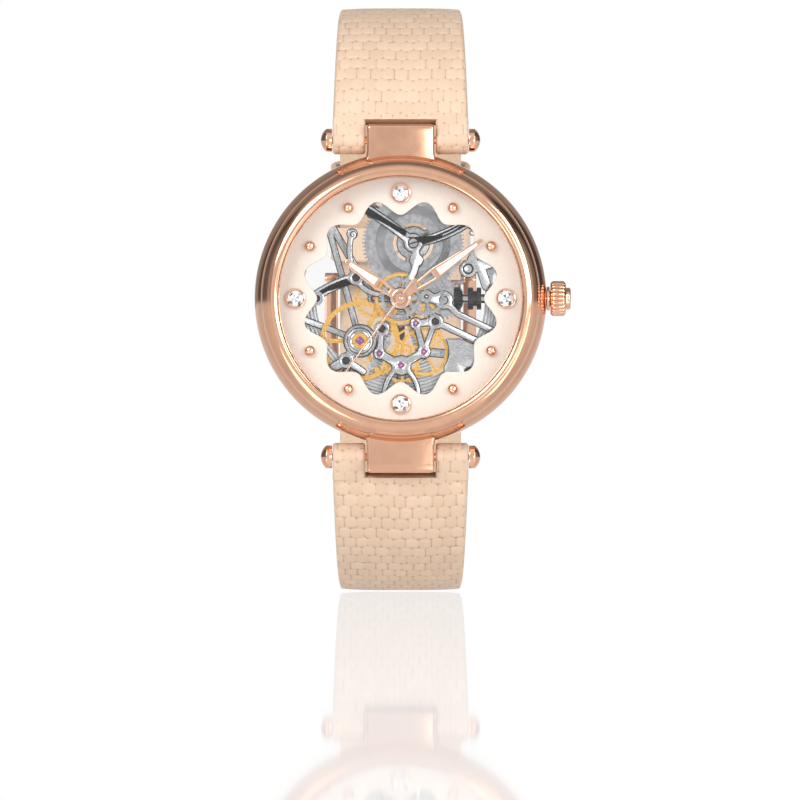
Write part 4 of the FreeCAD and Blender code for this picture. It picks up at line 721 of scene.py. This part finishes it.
# ---- case, bezel, crown
def build_case():
    side_arc = bulge((17.0, 1.0), (18.15, 8.2), 5.52, 28)
    band = [(15.6, 1.0)] + side_arc + [(16.2, 8.2), (16.2, 7.6), (15.6, 7.6)]
    lathe("case_band", band, ROSE, replaced=("case_middle",), count=256)
    bezel_top = top_of("bezel")
    crest = bulge((18.05, 8.75), (16.75, bezel_top - 0.06), 2.05, 18)
    inner = [(16.45, bezel_top), (16.1, bezel_top - 0.06), (15.93, bezel_top - 0.2), (15.86, bezel_top - 0.4)]
    ring = [(16.15, 8.2), (17.95, 8.2), (18.05, 8.3)] + crest + inner + [(15.86, 10.2), (16.15, 10.2)]
    lathe("bezel_band", ring, ROSE, replaced=("bezel",), count=256)
    for side, label in ((1, "top"), (-1, "bottom")):
        lug_block(f"lug_{label}", side)
    for node in ("lug_pins", "crown_tube", "dial_flange_ring"):
        softened(node, ROSE_FINE if node != "dial_flange_ring" else ROSE, 0.05)
    back = [(13.25, 0.05), (16.6, 0.05), (16.9, 0.35), (16.9, 1.0), (15.5, 1.0), (15.5, 1.9), (14.8, 1.9),
            (14.8, 1.4), (12.8, 1.4), (12.8, 1.0), (13.25, 1.0)]
    lathe("caseback_band", back, ROSE, replaced=("caseback_ring",), count=192)
    glass = [(0.001, 0.0), (13.1, 0.0), (13.2, 0.1), (13.2, 0.95), (0.001, 0.95)]
    lathe("caseback_window", glass, BACK_GLASS, replaced=("caseback_glass",), count=128)
    top = top_of("crystal")
    dome = [(0.001, 9.4), (16.12, 9.4), (16.12, 10.18), (15.82, 10.18), (15.82, top - 0.3),
            (15.7, top - 0.18), (15.3, top - 0.12), (10.0, top - 0.04), (5.0, top - 0.01), (0.001, top)]
    lathe("crystal_dome", dome, CRYSTAL, replaced=("crystal",), count=192)
    finish_node("movement_holder_ring", NYLON)
    build_crown()


def lug_block(name, side):
    """Central lug: a bevelled block that flares where it runs into the case band."""
    half, bottom, top, corner = 4.4, 2.4, 7.3, 0.45
    sections = [(16.9, 0.55), (17.6, 0.42), (18.1, 0.2), (18.6, 0.05), (19.2, 0.0), (21.5, 0.0), (22.2, 0.0)]
    for k in range(1, 7):
        angle = math.radians(15 * k)
        sections.append((22.2 + 0.5 * math.sin(angle), -0.5 * (1 - math.cos(angle))))
    points = []
    for y, swell in sections:
        shrink = max(-swell, 0)
        outline = rounded_outline(half + swell, bottom + shrink, top - shrink, corner)
        points += [(x, side * y, z) for x, z, _, _ in outline]
    rows = len(outline)
    faces = ring_faces(len(sections), rows, closed=False)
    faces.append(tuple(range(rows)))
    faces.append(tuple((len(sections) - 1) * rows + k for k in range(rows)))
    make_piece(name, points, faces, ROSE, angle=30)


def build_crown():
    """Ribbed crown body with a plain domed cap, turned about the stem."""
    level = pivot_of("crown_turn")[2]
    ribs, depth, count = 22, 0.2, 352
    profile = [(19.5, 1.2, 0), (19.5, 2.0, 0), (19.62, 2.16, 0.5), (19.85, 2.3, 1), (20.5, 2.3, 1),
               (21.15, 2.3, 1), (21.38, 2.16, 0.5), (21.5, 1.95, 0), (21.5, 1.5, 0), (21.56, 1.43, 0),
               (21.95, 1.43, 0), (22.08, 1.36, 0), (22.13, 1.2, 0), (22.15, 0.8, 0), (22.15, 0.001, 0),
               (21.1, 0.001, 0), (21.1, 0.64, 0), (20.4, 0.64, 0), (20.4, 1.2, 0)]
    points = []
    for step in range(count):
        turn = 2 * math.pi * step / count
        rib = abs(math.sin(ribs * turn / 2)) ** 0.6
        for x, radius, share in profile:
            points.append((x, *around((0, level), radius - depth * share * (1 - rib), turn)))
    make_piece("crown_ribbed", points, ring_faces(count, len(profile)), ROSE_FINE, "crown", ("crown",), 50)


def finish_node(node, material):
    """Give a CAD node that keeps its shape its finished material."""
    target = frame["nodes"][node]
    if not target.data.materials:
        target.data.materials.append(material)
    for index in range(len(target.data.materials)):
        target.material_slots[index].link = "OBJECT"
        target.material_slots[index].material = material


# ---- dial and its furniture
BEAD_RING, STONE_RING, BEAD_RADIUS = 13.6, 13.7, 0.73


def cutout_radius(angle):
    wave = -0.85 * math.cos(12 * angle)
    quarter = 0.35 * max(0.0, math.cos(4 * angle)) ** 4
    return 12.05 + wave - quarter


def build_dial():
    """The dial with its wavy opening, whose cut wall is darker than its face."""
    bottom, top = bottom_of("dial"), top_of("dial")
    count, rows = 720, 7
    points = []
    for step in range(count):
        angle = 2 * math.pi * step / count
        edge = cutout_radius(angle)
        points += [(*around(CENTRE, radius, angle), z) for radius, z in (
            (edge, bottom), (edge, top - 0.08), (edge + 0.08, top), (13.2 + (edge - 12) * 0.4, top),
            (16.05, top), (16.1, top - 0.05), (16.1, bottom))]
    mesh = new_mesh("dial_plate", points, ring_faces(count, rows))
    mesh.materials.append(CREAM)
    mesh.materials.append(DIAL_EDGE)
    mesh.polygons.foreach_set("material_index", ([1] + [0] * (rows - 1)) * count)
    mesh.flip_normals()
    mesh.update()
    finish_piece(add_object("dial_plate", mesh), None, "case", ("dial",), 30)
    build_markers(top)


def build_markers(top):
    """Four stones in rims at 12, 3, 6 and 9, and beads at the other hours."""
    bead_points, bead_faces = [], []
    stone_points, stone_faces, facet_reflections = [], [], []
    for hour in range(12):
        angle = math.radians(30 * hour)
        if hour % 3:
            add_bead(bead_points, bead_faces, around(CENTRE, BEAD_RING, angle), top)
        else:
            centre = around(CENTRE, STONE_RING, angle)
            lathe(f"stone_rim_{hour}", [(1.05, top), (1.33, top), (1.33, top + 0.22), (1.27, top + 0.33),
                                        (1.15, top + 0.35), (1.05, top + 0.28)], ROSE_FINE, centre,
                  replaced=("marker_settings",) if hour == 0 else (), count=72)
            add_stone(stone_points, stone_faces, facet_reflections, centre, top)
    make_piece("dial_bead_set", bead_points, bead_faces, ROSE_FINE, "case", ("dial_beads",), 60)
    mesh = new_mesh("stone_set", stone_points, stone_faces)
    # Painted reflections: each facet's stored value makes it light or dark.
    layer = mesh.attributes.new("facet", "FLOAT", "FACE")
    layer.data.foreach_set("value", facet_reflections)
    mesh.materials.append(STONE)
    mesh.flip_normals()
    piece = add_object("stone_set", mesh)
    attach(piece, "case")
    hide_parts("marker_stones")


def add_bead(points, faces, centre, top):
    """Polished half-round bead with a short foot."""
    base, rings, count = len(points), 14, 40
    for i in range(rings + 1):
        rise = math.pi / 2 * i / rings
        radius = max(BEAD_RADIUS * math.cos(rise), 0.0005)
        height = top + 0.15 + BEAD_RADIUS * math.sin(rise) if i else top
        points += [(*around(centre, radius, 2 * math.pi * k / count), height) for k in range(count)]
    faces += ring_faces(rings + 1, count, closed=False, first=base)
    faces.append(tuple(base + k for k in reversed(range(count))))


def add_stone(points, faces, facet_reflections, centre, top):
    """Round brilliant: an eight-sided table, star, kite and girdle facets."""
    starts = []
    for radius, height, shift, count in ((0.55, 0.42, 0.0, 8), (0.80, 0.32, 0.5, 8), (1.03, 0.20, 0.0, 16),
                                         (1.03, 0.0, 0.0, 16)):
        starts.append(len(points))
        points += [(*around(centre, radius, 2 * math.pi * (k + shift) / count), top + height)
                   for k in range(count)]
    middle = len(points)
    points.append((centre[0], centre[1], top + 0.42))
    table, star, girdle, foot = starts

    # Each facet gets a painted reflection value, light or dark.
    def facet(shade, *corners):
        faces.append(corners)
        facet_reflections.append(shade + random.uniform(-0.12, 0.12))
    for k in range(8):
        m = (k + 1) % 8
        facet(0.62 if k % 2 else 0.38, middle, table + k, table + m)
        facet(0.85, table + k, star + k, table + m)
        facet(0.60 if k % 2 else 0.25, table + m, star + k, girdle + (2 * k + 1) % 16,
              girdle + (2 * k + 2) % 16, star + m)
        facet(0.9, star + k, girdle + 2 * k, girdle + (2 * k + 1) % 16)
    for k in range(16):
        m = (k + 1) % 16
        facet(0.3, girdle + k, foot + k, foot + m, girdle + m)


# ---- hands
def flat_shape(name, outlines, bottom, thickness, bevel, material, body, turn, replaced=()):
    """A flat part with holes and bevelled edges, from outlines pointing to 12, turned clockwise."""
    curve = bpy.data.curves.new(name, "CURVE")
    curve.dimensions = "2D"
    curve.fill_mode = "BOTH"
    curve.extrude = max(thickness / 2 - bevel, 0.001) * MM
    curve.bevel_depth = bevel * MM
    curve.bevel_resolution = 1
    curve.offset = -bevel * MM
    mesh = curve_mesh(name, curve, [[(x * MM, y * MM, 0) for x, y in outline] for outline in outlines], True)
    spin = Matrix.Rotation(-math.radians(turn), 4, "Z")
    lift = Matrix.Translation((0, 0, (bottom + thickness / 2) * MM))
    stand = Matrix.Rotation(math.radians(90), 4, "X")
    mesh.transform(stand @ lift @ spin)
    return finish_piece(add_object(name, mesh), material, body, replaced, 25)


def circle(radius, count=64):
    return [around(CENTRE, radius, 2 * math.pi * k / count) for k in range(count)]


def hand_outline(length, base, widest, tip, hub):
    """Hub circle running into a baton that swells, then tapers to a blunt end."""
    side = [(base, hub * 0.8), (base, length * 0.14), (widest, length * 0.42), (tip, length - 0.12),
            (tip * 0.6, length)]
    start = math.atan2(side[0][1], side[0][0])
    arc = [around(CENTRE, hub, turn) for turn in np.linspace(math.pi - start, 2 * math.pi + start, 40)]
    return arc + side + [(-x, y) for x, y in reversed(side)]


def build_hands():
    specs = (("hour", 8.6, 304.2, 8.25, 1.3, 0.92, 0.55, 0.80, 0.42),
             ("minute", 13.1, 54.4, 8.6, 1.1, 0.6, 0.45, 0.78, 0.26))
    for name, length, turn, level, hub, bore, base, widest, tip in specs:
        window = [(base * 0.5, length * 0.2), (widest * 0.62, length * 0.40), (-widest * 0.62, length * 0.40),
                  (-base * 0.5, length * 0.2)]
        inlay = [(widest * 0.58, length * 0.46), (tip * 0.45, length * 0.93), (-tip * 0.45, length * 0.93),
                 (-widest * 0.58, length * 0.46)]
        outline = hand_outline(length, base, widest, tip, hub)
        flat_shape(f"{name}_baton", [outline, window, inlay, circle(bore)], level, 0.16, 0.04, ROSE_FINE,
                   name, turn, (f"{name}_hand",))
        flat_shape(f"{name}_inlay", [inlay], level + 0.02, 0.11, 0.005, LUME, name, turn)
        lathe(f"{name}_hub_collar", [(bore, level), (bore + 0.12, level), (hub * 0.93, level + 0.14),
                                     (hub * 0.86, level + 0.21), (bore + 0.06, level + 0.22),
                                     (bore, level + 0.18)],
              ROSE_FINE, body=name, count=96)
    level = bottom_of("seconds_hand")
    needle = [(0.2, -3.2), (0.17, -0.6), (0.15, 0.6), (0.045, 12.7), (-0.045, 12.7), (-0.15, 0.6),
              (-0.17, -0.6), (-0.2, -3.2)]
    flat_shape("seconds_needle", [needle], level, 0.096, 0.02, ROSE_FINE, "seconds", 216.7, ("seconds_hand",))
    lathe("seconds_hub", [(0.13, level), (0.78, level), (0.8, level + 0.06), (0.72, level + 0.15),
                          (0.36, level + 0.16), (0.3, level + 0.10), (0.2, level + 0.10), (0.13, level + 0.13)], ROSE_FINE,
          body="seconds", count=96)


# ---- movement
BARREL = centre_of("barrel_drum")
BALANCE = centre_of("balance_wheel")
BRIDGE_TOP = top_of("barrel_bridge")
PIVOTS = {"third": centre_of("third_wheel"), "fourth": centre_of("fourth_wheel"),
          "escape": centre_of("escape_wheel"), "pallet": pivot_of("pallet_rock")[:2]}
# Screws that share one CAD node: their places repeat part.py.
SEATS = {"train_left": (-2.46, -3.9), "train_right": (4.5, -3.0), "cock": (-7.1, -8.05), "left": (-5.8, 2.73),
         "left_outer": (-10.9, 0.0)}
MOTION_SCREW = (5.6, -0.2)
BRIDGE_BEVELS = {"barrel_bridge": 0.15, "left_bridge": 0.13, "train_bridge": 0.15, "balance_bridge": 0.13,
                 "motion_plate": 0.12, "keyless_plates": 0.12, "mainplate": 0.12}


def spiral(centre, inner, outer, turns, thickness, bottom, top, count=80):
    """A flat spiral ribbon as points and faces."""
    points = []
    steps = int(turns * count)
    for step in range(steps + 1):
        turn = 2 * math.pi * step / count
        radius = inner + (outer - inner) * step / steps
        points += [(*around(centre, radius + out, turn), height)
                   for out, height in ((0, bottom), (thickness, bottom), (thickness, top), (0, top))]
    last = steps * 4
    caps = [(0, 1, 2, 3), (last + 3, last + 2, last + 1, last)]
    return points, ring_faces(steps + 1, 4, closed=False) + caps


def build_springs():
    low, high = bottom_of("mainspring"), top_of("mainspring")
    points, faces = spiral(BARREL, 3.7, 4.85, 7, 0.1, low, high - 0.02, 96)
    make_piece("mainspring_coils", points, faces, SPRING, "barrel", ("mainspring",), 40)
    low, high = bottom_of("hairspring"), top_of("hairspring")
    points, faces = spiral(BALANCE, 0.45, 2.26, 10, 0.035, low, high, 72)
    make_piece("hairspring_coils", points, faces, POLISHED, "balance", ("hairspring",), 40)


def ring_seat(name, centre, inner, outer, bottom, height, material, replaced=(), body="case"):
    """A small polished chaton with a rounded lip."""
    mid = (inner + outer) / 2
    lathe(name, [(inner, bottom), (outer, bottom), (outer, bottom + height * 0.7), (mid, bottom + height),
                 (inner, bottom + height * 0.6)], material, centre, body, replaced, 56)


def slotted_screw(name, centre, radius, top, turn, material):
    """Flat head of two halves with a slot between them, over a floor painted dark as the shade in the slot."""
    points, faces = [], []
    slot, depth, count = radius * 0.16, 0.12, 24
    limit = math.asin(slot / radius)
    cosine, sine = math.cos(turn), math.sin(turn)
    for side in (1, -1):
        base = len(points)
        rim = [(radius * math.cos(a), side * radius * math.sin(a))
               for a in np.linspace(limit, math.pi - limit, count)]
        inner = [(x * 0.88, side * max(abs(y) * 0.88, slot)) for x, y in rim]
        for outline, height in ((rim, top - 0.3), (rim, top - 0.05), (inner, top)):
            points += [(centre[0] + x * cosine - y * sine, centre[1] + x * sine + y * cosine, height)
                       for x, y in outline]
        faces += ring_faces(3, count, closed=False, first=base)
        faces.append(tuple(base + 2 * count + k for k in range(count)))
        faces.append(tuple(base + k for k in reversed(range(count))))
    make_piece(name, points, faces, material, angle=30)
    # Painted shade: the slot's floor is dark steel under every head.
    lathe(name + "_floor", [(0.001, top - 0.32), (radius * 0.99, top - 0.32), (radius * 0.99, top - depth),
                            (0.001, top - depth)], BLACKENED_AND_SHADE, centre, count=40)


def build_movement():
    build_springs()
    # Plates and bridges: their walls and bevels get the dark steel as painted shade.
    for node, width in BRIDGE_BEVELS.items():
        softened(node, GRAINED_PLATE_SHADED if node == "mainplate" else STEEL, width, painted_shade_walls=BLACKENED_AND_SHADE)
    softened("barrel_drum", POLISHED, 0, "barrel", painted_shade_walls=BLACKENED_AND_SHADE)
    for material, nodes in (
            (POLISHED, ("barrel_arbor", "ratchet_wheel", "crown_wheel", "winding_stem", "setting_lever",
                        "rotor_bearing", "centre_pinion", "cannon_pinion", "seconds_pinion",
                        "balance_staff", "pallet_fork", "buckle_bar", "hour_wheel", "minute_wheel")),
            (GILT, ("centre_wheel", "third_wheel", "fourth_wheel", "escape_wheel", "reduction_wheel",
                    "balance_wheel")),
            (BLACKENED_AND_SHADE, ("winding_pinion", "sliding_pinion")),
            (STEEL, ("pallet_bridge",)),
            (RUBY, ("train_jewels",))):
        for node in nodes:
            finish_node(node, material)
    finish_node("rotor", ringed_metal("rotor_turned", (0.42, 0.43, 0.44), (0.66, 0.67, 0.68), CENTRE, 0.45))
    for index, (name, spot) in enumerate(SEATS.items()):
        ring_seat(f"seat_{name}", spot, 0.56, 0.95, BRIDGE_TOP - 0.02, 0.12, POLISHED)
        slotted_screw(f"screw_{name}", spot, 0.5, BRIDGE_TOP - 0.02, 0.6 + index * 1.1, BLACKENED_AND_SHADE)
    slotted_screw("screw_barrel", BARREL, 0.58, BRIDGE_TOP + 0.08, 0.3, POLISHED)
    slotted_screw("screw_motion", MOTION_SCREW, 0.52, BRIDGE_TOP + 0.06, 1.2, POLISHED)
    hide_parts("bridge_screws")
    for name, spot in PIVOTS.items():
        ring_seat(f"chaton_{name}", spot, 0.42, 0.62, BRIDGE_TOP - 0.03, 0.1, POLISHED)
        lathe(f"ruby_{name}", [(0.14, BRIDGE_TOP - 0.2), (0.42, BRIDGE_TOP - 0.2), (0.42, BRIDGE_TOP - 0.06),
                               (0.3, BRIDGE_TOP - 0.02), (0.2, BRIDGE_TOP - 0.08), (0.14, BRIDGE_TOP - 0.16)],
              RUBY, spot, count=40)
    build_shock()


def build_shock():
    """Shock setting: polished cup, ruby cap and a gold lyre spring over it."""
    top = BRIDGE_TOP
    lathe("shock_cup", [(1.0, top - 0.5), (1.6, top - 0.5), (1.6, top + 0.02), (1.5, top + 0.06),
                        (1.34, top + 0.05), (1.28, top - 0.05), (1.1, top - 0.12), (1.0, top - 0.2)], POLISHED, BALANCE,
          replaced=("shock_setting",), count=80)
    lathe("shock_cup_ring", [(1.75, top), (2.05, top), (2.0, top + 0.05), (1.8, top + 0.05)], POLISHED,
          BALANCE, count=80)
    lathe("shock_ruby", [(0.001, top - 0.4), (0.62, top - 0.4), (0.6, top - 0.2), (0.42, top - 0.1),
                         (0.001, top - 0.06)], RUBY, BALANCE, count=48)
    lathe("shock_floor", [(0.15, top - 0.5), (1.02, top - 0.5), (1.02, top - 0.35), (0.15, top - 0.35)], GILT,
          BALANCE, count=48)
    for side in (1, -1):
        path = []
        for k in range(25):
            share = k / 24
            x = -1.05 + 2.1 * share
            swell = 0.34 * math.sin(math.pi * share) ** 2 - 0.2 * math.sin(2 * math.pi * share) ** 2
            y = side * (0.28 + swell)
            path.append((BALANCE[0] + x, BALANCE[1] + y, top - 0.04))
        wire(f"shock_spring_{'upper' if side > 0 else 'lower'}", path, 0.065, GILT)


def scroll(name, centre, start, size, turns, hand, material, level):
    """A raised spiral curl that stands for engraved scrollwork."""
    path = []
    for k in range(48):
        share = k / 47
        turn = start + hand * 2 * math.pi * turns * share
        path.append((*around(centre, size * (1 - 0.85 * share), turn), level))
    wire(name, path, 0.07, material)


def build_ornament():
    """Three curls on the bridges. Their centres were read from the photograph."""
    level = BRIDGE_TOP
    scroll("scroll_upper_left", (-3.9, 10.9), 0.6, 0.62, 1.4, 1, BLACKENED_AND_SHADE, level)
    scroll("scroll_strip", (-6.2, 8.3), -0.6, 0.5, 1.4, 1, BLACKENED_AND_SHADE, level)
    scroll("scroll_right", (9.3, 8.6), 2.4, 0.6, 1.4, -1, BLACKENED_AND_SHADE, level)


# ---- buckle
def build_buckle():
    for node in ("buckle_frame", "buckle_prong"):
        body = "prong" if node == "buckle_prong" else "case"
        softened(node, ROSE, 0.18, body, segments=3)
    keeper("keeper_fixed", "fixed_keeper", math.radians(9.5), "case")
    keeper("keeper_floating", "floating_keeper", math.radians(19.0), "keeper")


# ---- stage
FLOOR_REACH = 1.8
VIEW_DISTANCE, VIEW_WIDTH, SENSOR = 3.0, 0.104, 36


def build_floor():
    """A level floor at the lowest point of the CAD."""
    level = cad_box[0][2]
    mesh = bpy.data.meshes.new("floor")
    mesh.from_pydata([(-FLOOR_REACH, -FLOOR_REACH, level), (FLOOR_REACH, -FLOOR_REACH, level),
                      (FLOOR_REACH, FLOOR_REACH, level), (-FLOOR_REACH, FLOOR_REACH, level)],
                     [], [(0, 1, 2, 3)])
    mesh.materials.append(mirror_floor())
    plane = add_object("floor", mesh)


def add_area(name, spot, target, size, energy):
    light = bpy.data.lights.new(name, "AREA")
    light.shape = "RECTANGLE"
    light.size, light.size_y = size
    light.energy = energy
    lamp = add_object(name, light)
    lamp.location = spot
    lamp.rotation_euler = (Vector(target) - Vector(spot)).to_track_quat("-Z", "Y").to_euler()


def mirror_floor():
    """A floor that glows white and gives back a faint mirror image."""
    material = bpy.data.materials.new("floor_mirror")
    material.use_nodes = True
    nodes, links = material.node_tree.nodes, material.node_tree.links
    nodes.clear()
    end = nodes.new("ShaderNodeOutputMaterial")
    mix = nodes.new("ShaderNodeMixShader")
    mix.inputs["Fac"].default_value = 0.32
    glow = nodes.new("ShaderNodeEmission")
    mirror = nodes.new("ShaderNodeBsdfGlossy")
    mirror.inputs["Roughness"].default_value = 0.015
    mirror.inputs["Color"].default_value = (1, 1, 1, 1)
    links.new(glow.outputs["Emission"], mix.inputs[1])
    links.new(mirror.outputs["BSDF"], mix.inputs[2])
    links.new(mix.outputs["Shader"], end.inputs["Surface"])
    return material


def level_ramp(nodes, links, source, stops):
    """Grey levels against one component of a direction, from -1 to 1."""
    lift = nodes.new("ShaderNodeMapRange")
    lift.inputs["From Min"].default_value = -1.0
    band = nodes.new("ShaderNodeValToRGB")
    links.new(source, lift.inputs["Value"])
    links.new(lift.outputs["Result"], band.inputs["Fac"])
    while len(band.color_ramp.elements) < len(stops):
        band.color_ramp.elements.new(0.5)
    for element, (spot, level) in zip(band.color_ramp.elements, stops):
        element.position = (spot + 1) / 2
        element.color = (level, level, level, 1)
    return band


def studio_world():
    """Grey surroundings by direction, for the metal to reflect.

    They are bright in front of the dial, dim beside the watch, and white in a small patch straight behind it.
    """
    world = bpy.data.worlds.new("studio")
    bpy.context.scene.world = world
    world.use_nodes = True
    nodes, links = world.node_tree.nodes, world.node_tree.links
    place = nodes.new("ShaderNodeTexCoord")
    split = nodes.new("ShaderNodeSeparateXYZ")
    links.new(place.outputs["Generated"], split.inputs["Vector"])
    depth = level_ramp(nodes, links, split.outputs["Y"], (
        (-1.0, 0.80), (-0.64, 1.0), (-0.28, 0.75), (-0.08, 0.34), (0.2, 0.26), (0.95, 0.36), (0.985, 1.0)))
    width = level_ramp(nodes, links, split.outputs["X"], (
        (-0.92, 0.60), (-0.80, 0.30), (-0.68, 1.0), (0.60, 1.0), (0.70, 0.22), (0.84, 0.22), (0.92, 0.9)))
    links.new(multiply(nodes, links, depth, width), nodes["Background"].inputs["Color"])


def build_stage():
    """Floor, surroundings, three area lights, and the camera level with the photograph's."""
    build_floor()
    studio_world()
    add_area("key_left", (-0.42, -0.55, 0.36), (0, 0, 0), (0.40, 0.40), 3.4)
    add_area("key_right", (0.50, -0.42, 0.20), (0, 0, 0), (0.18, 0.45), 1.7)
    add_area("fill_low", (0.22, -0.60, 0.04), (0, 0, -0.03), (0.30, 0.10), 0.45)
    camera = bpy.data.cameras.new("camera")
    camera.sensor_width = SENSOR
    camera.lens = SENSOR * VIEW_DISTANCE / VIEW_WIDTH
    camera.clip_start = 0.01
    camera.clip_end = 20
    eye = add_object("camera", camera)
    eye.location = (-0.00007, -VIEW_DISTANCE - 0.008, -0.0132)
    eye.rotation_euler = (math.radians(90), 0, 0)
    bpy.context.scene.camera = eye
    bpy.context.scene.view_settings.view_transform = "Standard"


build_stage()
build_strap()
build_case()
build_dial()
build_hands()
build_movement()
build_ornament()
build_buckle()
